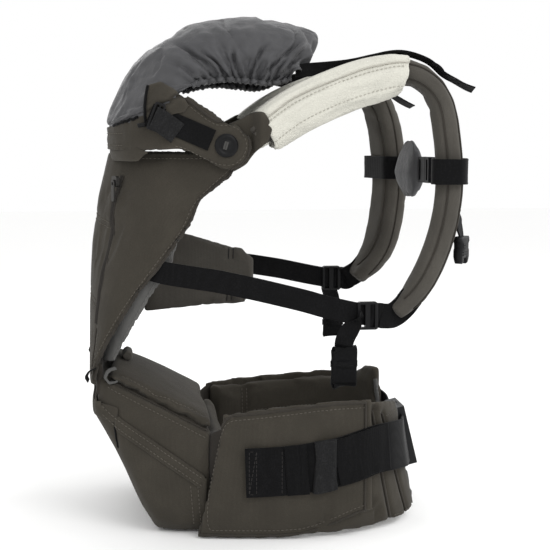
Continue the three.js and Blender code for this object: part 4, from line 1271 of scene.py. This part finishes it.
# The headrest's cloth runs up over the foot of the hood at each side; a cord edges it.
def make_side_flaps(headrest, hood):
    trees = [tree_of(headrest), tree_of(hood)]
    rows = (((-154, 453), (-112, 469)), ((-155.5, 464), (-107, 476)), ((-155.5, 476), (-111, 484)),
            ((-154, 487), (-122, 493)), ((-151, 498), (-138, 502)))
    fine = 6
    for side, s in SIDES:
        points, faces = [], []
        steps = (len(rows) - 1) * fine
        for j in range(steps + 1):
            k, t = min(j // fine, len(rows) - 2), j / fine - min(j // fine, len(rows) - 2)
            ends = [[blend_value(a, b, t) for a, b in zip(p, q)] for p, q in zip(rows[k], rows[k + 1])]
            for i in range(13):
                y, z = (blend_value(a, b, i / 12) for a, b in zip(*ends))
                z += 2.5 * math.sin(math.pi * i / 12) * (1 - j / steps)
                start = row(s * 200, y, z)
                hits = [tree.ray_cast(start, Vector((-s, 0, 0)), 0.15)[0] for tree in trees]
                reach = max([abs(h.x) for h in hits if h is not None] + [104 * MM])
                rim = 1.0 if 0 < i < 12 and j < steps else 0.2
                points.append(Vector((s * (reach + 1.6 * MM * rim), start.y, start.z)))
        for j in range(steps):
            for i in range(12):
                k = j * 13 + i
                faces.append((k, k + 1, k + 14, k + 13))
        patch = new_object(f"headrest_side_flap_{side}", points, faces)
        relax(patch, 0.5, 4)
        thicken(patch, 1.8)
        edge = [patch.data.vertices[13 * j].co.copy() for j in range(steps + 1)]
        finish(patch, "headrest", MATERIALS["shell_fabric"])
        cord = [(p + Vector((s * 1.2 * MM, 0, 0)), Vector((s, 0, 0))) for p in edge]
        finish(tube(f"hood_cord_{side}", [cord], 0.0016, 8), "headrest", MATERIALS["webbing"])
        low = edge[0]
        pull = [(low + Vector((s * 2 * MM, -k * 3.2 * MM, (1.5 - 0.5 * k) * MM)), Vector((s, 0, 0)))
                for k in range(4)]
        finish(tube(f"hood_cord_toggle_{side}", [pull], 0.0024, 10), "headrest", MATERIALS["buckle_plastic"])


def make_headrest_webbing():
    for side, s in SIDES:
        face = HEADREST_HALF + 2.6
        strip = [(face + 1.0, -150, 467), (face + 0.6, -136, 461), (face + 0.6, -112, 451),
                 (face + 1.0, -83, 438.5)]
        tab = webbing(f"headrest_webbing_{side}_soft", design_path(strip, s), lambda t: (0, 0.37, 0.93), 24,
                      2, 0.6)
        finish(tab, "headrest", MATERIALS["webbing"], (f"headrest_webbing_{side}",))
        flap = [(face + 2.6, -146, 463), (face + 4.0, -138, 459), (face + 3.4, -128, 452),
                (face + 2.4, -120, 446)]
        # the flap uses the lighter webbing copy, a painted highlight on the fold
        finish(webbing(f"headrest_flap_{side}", design_path(flap, s), lambda t: (0, 0.5 - 0.2 * t, 0.87),
                       25, 1.6, 1.4), "headrest", LIT_FOLD_WEBBING)


# ---- shoulder straps ----
STRAP_ROUTE = {
    "left": ((-30.5, 441.5), (-22, 452), (10, 475), (51, 494), (95, 509), (132, 514), (160, 502), (177, 478),
             (184, 440), (187, 404), (186, 376), (181, 345), (171, 312), (158, 284), (144, 264), (131, 252)),
    "right": ((-30.5, 441.5), (-22, 452), (8, 474), (44, 491), (80, 502), (108, 503), (132, 490), (145, 466),
              (152, 436), (156, 404), (157, 376), (154, 345), (148, 316), (138, 293), (127, 279), (120, 272)),
}


# A line beside the strap's middle line, in the YZ plane, for part of its length.
def beside_strap(side, offset, start=0.0, stop=1.0):
    path = smooth_path([Vector((0, y, z)) for y, z in STRAP_ROUTE[side]], 6)
    path = path[int(start * (len(path) - 1)): int(stop * (len(path) - 1)) + 1]
    line = []
    for i, p in enumerate(path):
        along = (path[min(i + 1, len(path) - 1)] - path[max(i - 1, 0)]).normalized()
        line.append(p + Vector((0, -along.z, along.y)) * offset)
    return line


def make_straps():
    parts = {}
    for side, _ in SIDES:
        strap, sleeve = f"shoulder_strap_{side}", f"teething_pad_{side}"
        parts["strap", side] = pad(f"strap_{side}_soft", [strap], 4.5, 3.0, 2.6, 0.03, 4)
        parts["sleeve", side] = pad(f"teething_{side}_soft", [sleeve], 3.4, 3.0, 2.2, 0.04, 2)
    return parts


# The sleeve hangs lower than the strap inside it, and its front end is drawn forward over the strap's root.
def shape_sleeve(obj, side):
    path = smooth_path([row(0, y, z) for y, z in STRAP_ROUTE[side]], 6)
    find = KDTree(len(path))
    for i, p in enumerate(path):
        find.insert(p, i)
    find.balance()
    for vertex in obj.data.vertices:
        i = find.find(Vector((0, vertex.co.y, vertex.co.z)))[1]
        along = (path[min(i + 1, len(path) - 1)] - path[max(i - 1, 0)]).normalized()
        upright = Vector((0, -along.z, along.y))
        height = (vertex.co - path[i]).dot(upright)
        front, rear = clamp((0.16 - i / len(path)) / 0.1), clamp((i / len(path) - 0.26) / 0.12)
        if height < 0:
            vertex.co += upright * height * (0.45 - 0.4 * rear) + along * height * 0.5 * front
        vertex.co -= along * MM * (9 * front + 6 * rear)


# The lower end of the strap is drawn out and flattened where the webbing is sewn in.
def lengthen_end(obj, side):
    (y0, z0), (y1, z1) = STRAP_ROUTE[side][-2:]
    end, along = row(0, y1, z1), (row(0, y1, z1) - row(0, y0, z0)).normalized()
    upright = Vector((0, -along.z, along.y))
    for vertex in obj.data.vertices:
        ahead = (vertex.co - end).dot(along)
        if -26 * MM < ahead < 20 * MM and vertex.co.z < end.z + 40 * MM:
            pull = ease((ahead + 26 * MM) / (26 * MM))
            height = (vertex.co - end).dot(upright)
            vertex.co += along * 9 * MM * pull - upright * height * 0.22 * pull
            vertex.co.z += 1.5 * MM * pull * noise.noise(vertex.co * 120)


# Flat sewn end of the strap, which runs down behind the snap to the corner of the panel.
def strap_root(side, s):
    outline = ((-74, 446), (-62, 457), (-50, 462), (-36, 470), (-26, 470), (-16, 452), (-22, 437), (-33, 428),
               (-44, 412), (-60, 403), (-74, 414))
    count = len(outline)
    points = [row(s * x, y, z) for x in (86, 104.5) for y, z in outline]
    faces = [tuple(range(count))[::-1], tuple(range(count, 2 * count))]
    faces += [(k, (k + 1) % count, (k + 1) % count + count, k + count) for k in range(count)]
    root = new_object(f"strap_root_{side}", points, faces)
    remesh(root, 2.6 * MM)
    relax(root, 0.5, 8)
    # beyond the snap the root is as wide as the strap
    clear, middle = row(0, -40, 0).y, s * 95 * MM
    for vertex in root.data.vertices:
        if (vertex.co.x - middle) * s > 0:
            vertex.co.x += s * 18 * MM * ease((vertex.co.y - clear) / (12 * MM))
    return root


def finish_straps(parts):
    pale = MATERIALS["pale_terry"]
    for side, s in SIDES:
        strap, sleeve = parts["strap", side], parts["sleeve", side]
        subdivide(strap)
        subdivide(sleeve)
        shape_sleeve(sleeve, side)
        lengthen_end(strap, side)
        root = strap_root(side, s)
        finish(root, "panel", MATERIALS["shell_fabric"])
        finish(strap, "panel", STRAP_FABRIC, (f"shoulder_strap_{side}",))
        finish(sleeve, "panel", pale, (f"teething_pad_{side}",))
        for k, offset in enumerate((-8.5, 8.5)):
            line = beside_strap(side, offset, 0.02, 0.97)
            outside = [row(s * 200, p.y, p.z) for p in line]
            inside = [row(0, p.y, p.z) for p in line]
            for kind, seam, way in (("edge", outside, -s), ("inner", inside, s)):
                sew(f"strap_{kind}_piping_{k}_{side}", strap, "panel", seam, (way, 0, 0), "pipe", 0.0010,
                    0.003)
        # overlapped closing edge of the sleeve
        wrap = [row(s * 200, p.y, p.z) for p in beside_strap(side, 10, 0.04, 0.40)]
        sew(f"teething_seam_{side}", sleeve, "panel", wrap, (-s, 0, 0), "pipe", 0.0024, 0.005, PALE_BIND,
            0.0008)
        for k, (start, stop) in enumerate(((0.05, 0.39), (0.045, 0.395))):
            hem = [row(s * 200, p.y, p.z) for p in beside_strap(side, (5.5, -17)[k], start, stop)]
            sew(f"teething_stitch_{k}_{side}", sleeve, "panel", hem, (-s, 0, 0), "stitch", 0.0010, 0.003,
                PALE_BIND)
        # stitched rows across the back of each strap
        for k in range(2):
            rows = [row(s * x, 400, 360 - 130 * k) for x in range(70, 120, 4)]
            sew(f"strap_cross_stitch_{k}_{side}", strap, "panel", rows, (0, -1, 0), depth=0.0008)


# ---- small webbing ----
SIDE_WEB = {
    "left": ((94, -163, 300), (99, -149, 297), (105, -132, 293), (110, -100, 288), (112, -75, 284),
             (115, -40, 276.5), (116, -9, 269), (116, 20, 261.5), (116, 42, 255), (114.5, 74, 247.3),
             (113.6, 84, 246), (112.6, 94, 245)),
    "right": ((-108, -40, 284), (-112, -14, 280), (-115, 20, 274), (-115, 48, 268), (-114, 73, 263),
              (-113, 82, 262), (-112.6, 90, 261.5)),
}
LOCK_AT = {"left": (114, 90, 244), "right": (-114, 87, 261)}
TAIL = {
    "left": (((118.5, 84, 246), (119.5, 78, 241), (121, 72, 233), (120.5, 66, 224), (119, 63, 215),
              (118, 63, 206)), (118, 63, 188), 27, 38),
    "right": (((-118.5, 84, 262), (-119.5, 84, 250), (-121, 88, 238), (-119.5, 90, 228), (-118, 90, 218),
               (-118, 90, 212)), (-118, 90, 200), 24, 27),
}


# Spare webbing folded up and down on itself.
def folded_stack(name, centre, wide, tall, layers=5, pitch=2.3):
    points = []
    half = tall / 2
    for k in range(layers):
        x = (k - (layers - 1) / 2) * pitch
        ends = (half, -half) if k % 2 == 0 else (-half, half)
        shrink = 1.6 * random.random()
        for t in (0.0, 0.5, 1.0):
            z = blend_value(ends[0], ends[1], t)
            z -= math.copysign(shrink, z) if t != 0.5 else 0
            points.append((centre[0] + x + (0.3 if t == 0.5 else 0), centre[1] + random.uniform(-0.8, 0.8),
                           centre[2] + z))
    path = [row(*p) for p in points]
    return webbing(name, path, lambda t: (0.0, 1, 0.06), wide, 1.7, 0.5)


def make_small_webbing():
    black = MATERIALS["webbing"]
    for side, s in SIDES:
        strip = webbing(f"side_webbing_{side}_soft", [row(*p) for p in SIDE_WEB[side]],
                        lambda t: (0, 0.15, 1), 25, 1.8, 0.8)
        finish(strip, "panel", black, (f"side_webbing_{side}",))
        end_y, end_z = STRAP_ROUTE[side][-1]
        lock = LOCK_AT[side]
        loop = [(lock[0] + s * 0.5, lock[1] + 2, lock[2]), (lock[0] + s * 0.3, lock[1] + 7, lock[2]),
                (lock[0] - s * 0.5, lock[1] + 14, lock[2]), (lock[0] - s * 2, lock[1] + 18, lock[2] - 1),
                (s * 108, end_y - 11, end_z - 9),
                (s * 105.5, end_y + 1, end_z - 1), (s * 104, end_y + 12, end_z + 12)]
        finish(webbing(f"strap_end_loop_{side}_soft", [row(*p) for p in loop],
                       lambda t: (0, 0.1 - 0.8 * ease(t * 1.4), 1), 28, 3.2, 1.6),
               "panel", black, (f"strap_end_loop_{side}",))
        path, roll, wide, tall = TAIL[side]
        tail = webbing(f"webbing_tail_{side}_soft", [row(*p) for p in path],
                       lambda t: (0.25 * s, blend_value(0.5, 1, t), blend_value(0.8, 0, t)), 21, 1.8, 1.6)
        finish(tail, f"tail_{side}", black, (f"webbing_tail_{side}",))
        finish(folded_stack(f"rolled_webbing_{side}_soft", roll, wide, tall), f"tail_{side}", black,
               (f"rolled_webbing_{side}",))
        ring = []
        for k in range(28):
            a = 2 * math.pi * k / 28
            across, along = 7.2 * math.cos(a), (wide / 2 + 1.4) * math.sin(a)
            ring.append(row(roll[0] + across, roll[1] + along, roll[2] + 3))
        keeper = webbing(f"tail_keeper_{side}", ring, lambda t: (0, 0, 1), 7, 1.1, closed=True)
        finish(keeper, f"tail_{side}", black)
    hang = [(104, 185, 360), (104, 192, 358), (104, 195.5, 352), (104, 196, 345), (104, 197, 338),
            (104, 198.5, 331), (104, 199, 326)]
    finish(webbing("spare_webbing_soft", [row(*p) for p in hang], lambda t: (0.85, -0.5, 0), 16, 2.2, 0.8),
           "panel", black, ("spare_webbing",))
    make_spare_buckle()


# Socket of the spare buckle: a flat shell with shoulders, a waist for the prongs and an open mouth below.
def make_spare_buckle():
    outline = ((-11.5, 0), (11.5, 0), (12, -4), (9.6, -7), (9.4, -13), (11, -16), (11, -24), (8, -30.5),
               (4.5, -31), (3.2, -25), (-3.2, -25), (-4.5, -31), (-8, -30.5), (-11, -24), (-11, -16),
               (-9.4, -13), (-9.6, -7), (-12, -4))
    wide, flat = Vector((0.75, -0.66, 0)), Vector((0.66, 0.75, 0))
    top = row(104, 199, 331)
    count = len(outline)
    layers = ((-5, 0.88), (-3.6, 1), (3.6, 1), (5, 0.88))
    points = [top + wide * (u * k * MM) + flat * (depth * MM) + Vector((0, 0, (w * k - 15.5 * (1 - k)) * MM))
              for depth, k in layers for u, w in outline]
    faces = [tuple(range(count)), tuple(range(3 * count, 4 * count))[::-1]]
    for j in range(3):
        for k in range(count):
            a, b = j * count + k, j * count + (k + 1) % count
            faces.append((a, a + count, b + count, b))
    shell = new_object("spare_buckle_shell", points, faces)
    finish(shell, "spare_buckle", MATERIALS["buckle_plastic"], ("spare_buckle",))
    lines = []
    for w in (-9, -11.5, -18, -21):
        for face in (1, -1):
            normal = flat * face
            rib = top + flat * (5 * face * MM) + Vector((0, 0, w * MM))
            lines.append([(rib + wide * (u * MM), normal) for u in (-6, -3, 0, 3, 6)])
    finish(tube("spare_buckle_ribs", lines, 0.0007, 6), "spare_buckle", MATERIALS["buckle_plastic"])


# ---- cross strap ----
def make_cross_strap():
    turn = -0.27
    for side, s in SIDES:
        low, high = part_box(f"cross_strap_band_{side}")
        centre = [(a + b) / 2 for a, b in zip(low, high)]
        width = Vector((1, s * turn, 0)).normalized()
        normal = Vector((-width.y, width.x, 0))
        half_w, half_n, corner = 36 * MM, 19.5 * MM, 12 * MM
        ring = []
        for cx, cn, start in ((1, 1, 0), (-1, 1, 90), (-1, -1, 180), (1, -1, 270)):
            for k in range(7):
                a = math.radians(start + 15 * k)
                ring.append(Vector(centre) + width * (cx * (half_w - corner) + corner * math.cos(a))
                            + normal * (cn * (half_n - corner) + corner * math.sin(a)))
        dense = []
        for a, b in zip(ring, ring[1:] + ring[:1]):
            pieces = max(1, int((b - a).length / 0.004))
            dense += [a.lerp(b, k / pieces) for k in range(pieces)]
        band = webbing(f"cross_band_{side}_soft", dense, lambda t: (0, 0, 1), 28, 2, 0.7, closed=True)
        finish(band, "cross_strap", MATERIALS["webbing"], (f"cross_strap_band_{side}",))
    angle = math.atan2(29, 192)
    forward = Vector((math.cos(angle), math.sin(angle), 0))
    middle = row(0, 171, 404)

    def spot(x, y, z=0.0):
        sideways = Vector((-forward.y, forward.x, 0))
        return middle + forward * (x * MM) + sideways * (y * MM) + Vector((0, 0, z * MM))

    for name, ends in (("near", (39, 66)), ("far", (-66, -44))):
        path = [spot(blend_value(*ends, k / 3), -2 + (1.5 if k in (1, 2) else 0)) for k in range(4)]
        finish(webbing(f"cross_web_{name}", path, lambda t: (0, 0, 1), 24, 2, 0.8), "cross_strap",
               MATERIALS["webbing"])
    path = [spot(x, -2 + 0.5 * math.sin(x)) for x in (20, 25, 30)]
    finish(webbing("cross_web_pad_end", path, lambda t: (0, 0, 1), 24, 2, 0.6), "cross_strap",
           MATERIALS["webbing"])


def finish_cross_pad(obj):
    subdivide(obj)
    (x0, y0, z0), (x1, y1, z1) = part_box("cross_strap_pad")
    middle = Vector(((x0 + x1) / 2, (y0 + y1) / 2, (z0 + z1) / 2))
    for vertex in obj.data.vertices:
        up = (vertex.co.z - middle.z) / ((z1 - z0) / 2)
        taper = 1.25 - 0.85 * abs(up + 0.12) ** 1.2
        vertex.co.y = middle.y + (vertex.co.y - middle.y) * taper
        vertex.co.x = middle.x + (vertex.co.x - middle.x) * (1.05 - 0.3 * abs(up) ** 2)
        vertex.co.z = middle.z + (vertex.co.z - middle.z) * 1.08
    finish(obj, "cross_strap", MATERIALS["hood_fabric"], ("cross_strap_pad",))


def make_hood_straps():
    for side, s in SIDES:
        lift = 26 / 2 + 5 + 3
        path = smooth_path([Vector((0, y, z)) for y, z in STRAP_ROUTE[side]], 8)
        over = []
        for t in (0.13, 0.18, 0.23, 0.28, 0.33, 0.38, 0.42):
            i = int(t * (len(path) - 1))
            along = (path[i + 1] - path[i - 1]).normalized()
            p = path[i] + Vector((0, -along.z, along.y)) * lift
            over.append((88 + 5 * t, p.y, p.z))
        tail = over[-1]
        start = [(88, 12, 515 if s > 0 else 513), (88, 24, 516 if s > 0 else 511)]
        run = [p for p in over if p[1] > 30]
        end = [(tail[0], tail[1] + 16, tail[2] - 9), (tail[0] + 2, tail[1] + 33, tail[2] - 17)]
        strip = webbing(f"hood_strap_{side}_soft", design_path(start + run + end, s),
                        lambda t: (0.1 + 0.9 * ease((t - 0.12) / 0.3), 0, 1 - 0.7 * ease((t - 0.12) / 0.3)),
                        15, 1.6, 1.5)
        # sewn to the hood's corner; the strip is attached to no body and stays where it is made
        strip.data.materials.append(MATERIALS["webbing"])
        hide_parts(f"hood_strap_{side}")
        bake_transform(strip)
        a, b = (Vector(p) for p in run[-2:])
        along = (b - a).normalized()
        above = Vector((0, -along.z, along.y))
        knot = [a.lerp(b, t) + above * h for t, h in ((0.2, 0.4), (0.4, 1.6), (0.6, 1.6), (0.8, 0.4))]
        finish(webbing(f"hood_strap_keeper_{side}", design_path(knot, s), lambda t: (1, 0, 0), 19, 3.0),
               f"hood_strap_{side}", MATERIALS["webbing"])


# ---- rigid parts carried over ----
def dress_rigid():
    rounding = {"seat_base_board": 1.0, "waist_buckle": 1.1, "cross_buckle": 0.7,
                "ladder_lock": 0.9, "snap_cap": 0.6, "headrest_slide": 0.5, "panel_zip": 0.4}
    for node, obj in NODES.items():
        size = next((r for key, r in rounding.items() if node.startswith(key)), None)
        if size is None or node == "panel_zip_tape":
            continue
        obj.data.materials.clear()
        obj.data.materials.append(MATERIALS[SLOT_OF[node]])
        modifier = obj.modifiers.new("edges", "BEVEL")
        modifier.width = size * MM
        modifier.segments = 3
        modifier.limit_method = "ANGLE"
        modifier.angle_limit = math.radians(35)
        modifier.harden_normals = True


# Ring and pressed centre of each snap cap.
def make_snap_faces():
    for side, s in SIDES:
        points, faces = [], []
        profile_line = ((0, 1.2), (4.6, 1.2), (5.2, 0.2), (8.0, 0.2), (8.8, 1.3), (11.0, 1.1),
                        (12.0, 0.1))
        turns = 36
        x0 = HEADREST_HALF + 0.4 + 4.5
        for r, h in profile_line:
            for k in range(turns):
                a = 2 * math.pi * k / turns
                points.append(row(s * (x0 + h), -67 + r * math.cos(a), 433 + r * math.sin(a)))
        for i in range(len(profile_line) - 1):
            for k in range(turns):
                a = i * turns + k
                b = i * turns + (k + 1) % turns
                faces.append((a, b, b + turns, a + turns) if s > 0 else (a, a + turns, b + turns, b))
        finish(new_object(f"snap_face_{side}", points, faces), "headrest", MATERIALS["buckle_plastic"])
        bar = [row(s * (x0 + 1.7), -67 + y * 0.3 - 1, 433 + y) for y in (-4.2, 0, 4.2)]
        finish(webbing(f"snap_bar_{side}", bar, lambda t: (0, 1, -0.3), 4.4, 0.8), "headrest",
               MATERIALS["zip_metal"])


# Raised grips on both faces of the waist buckle.
def make_buckle_ribs():
    lean = 0.24

    def spot(x, y, z):
        cosine, sine = math.cos(lean), math.sin(lean)
        return row(-8 + x, 155 + y * cosine - z * sine, 84 + y * sine + z * cosine)

    ribs = (("wing_right", "socket", (-6, -2, 2)), ("wing_left", "tongue", (21.5, 24.5, 27.5)))
    for body, name, places in ribs:
        lines = []
        for x in places:
            for face in (1, -1):
                normal = Vector((0, math.cos(lean), math.sin(lean))) * face
                reach = 20 if name == "socket" else 26
                lines.append([(spot(x, 7 * face, z), normal) for z in range(-reach, reach + 1, 4)])
        finish(tube(f"waist_buckle_ribs_{name}", lines, 0.0008, 6), body, MATERIALS["buckle_plastic"])


# ---- build ----
seat_parts = make_seat()
belt_parts = make_belt()
panel_parts = make_panel()
headrest_pad = make_headrest()
hood_sheet, hood_edges = make_hood()
strap_parts = make_straps()
cross_pad = pad("cross_pad_soft", ["cross_strap_pad"], 3.0, 4.0, 3.0, 0.04, 5)
inflate_all()
finish_seat(seat_parts)
finish_belt(belt_parts)
make_wing_roots()
make_waist_webbing()
finish_panel(panel_parts)
make_zip(panel_parts[0])
finish_headrest(headrest_pad)
finish_hood(hood_sheet, hood_edges)
make_gussets()
make_side_flaps(headrest_pad, hood_sheet)
make_headrest_webbing()
finish_straps(strap_parts)
make_small_webbing()
make_cross_strap()
finish_cross_pad(cross_pad)
make_hood_straps()
dress_rigid()
make_snap_faces()
make_buckle_ribs()
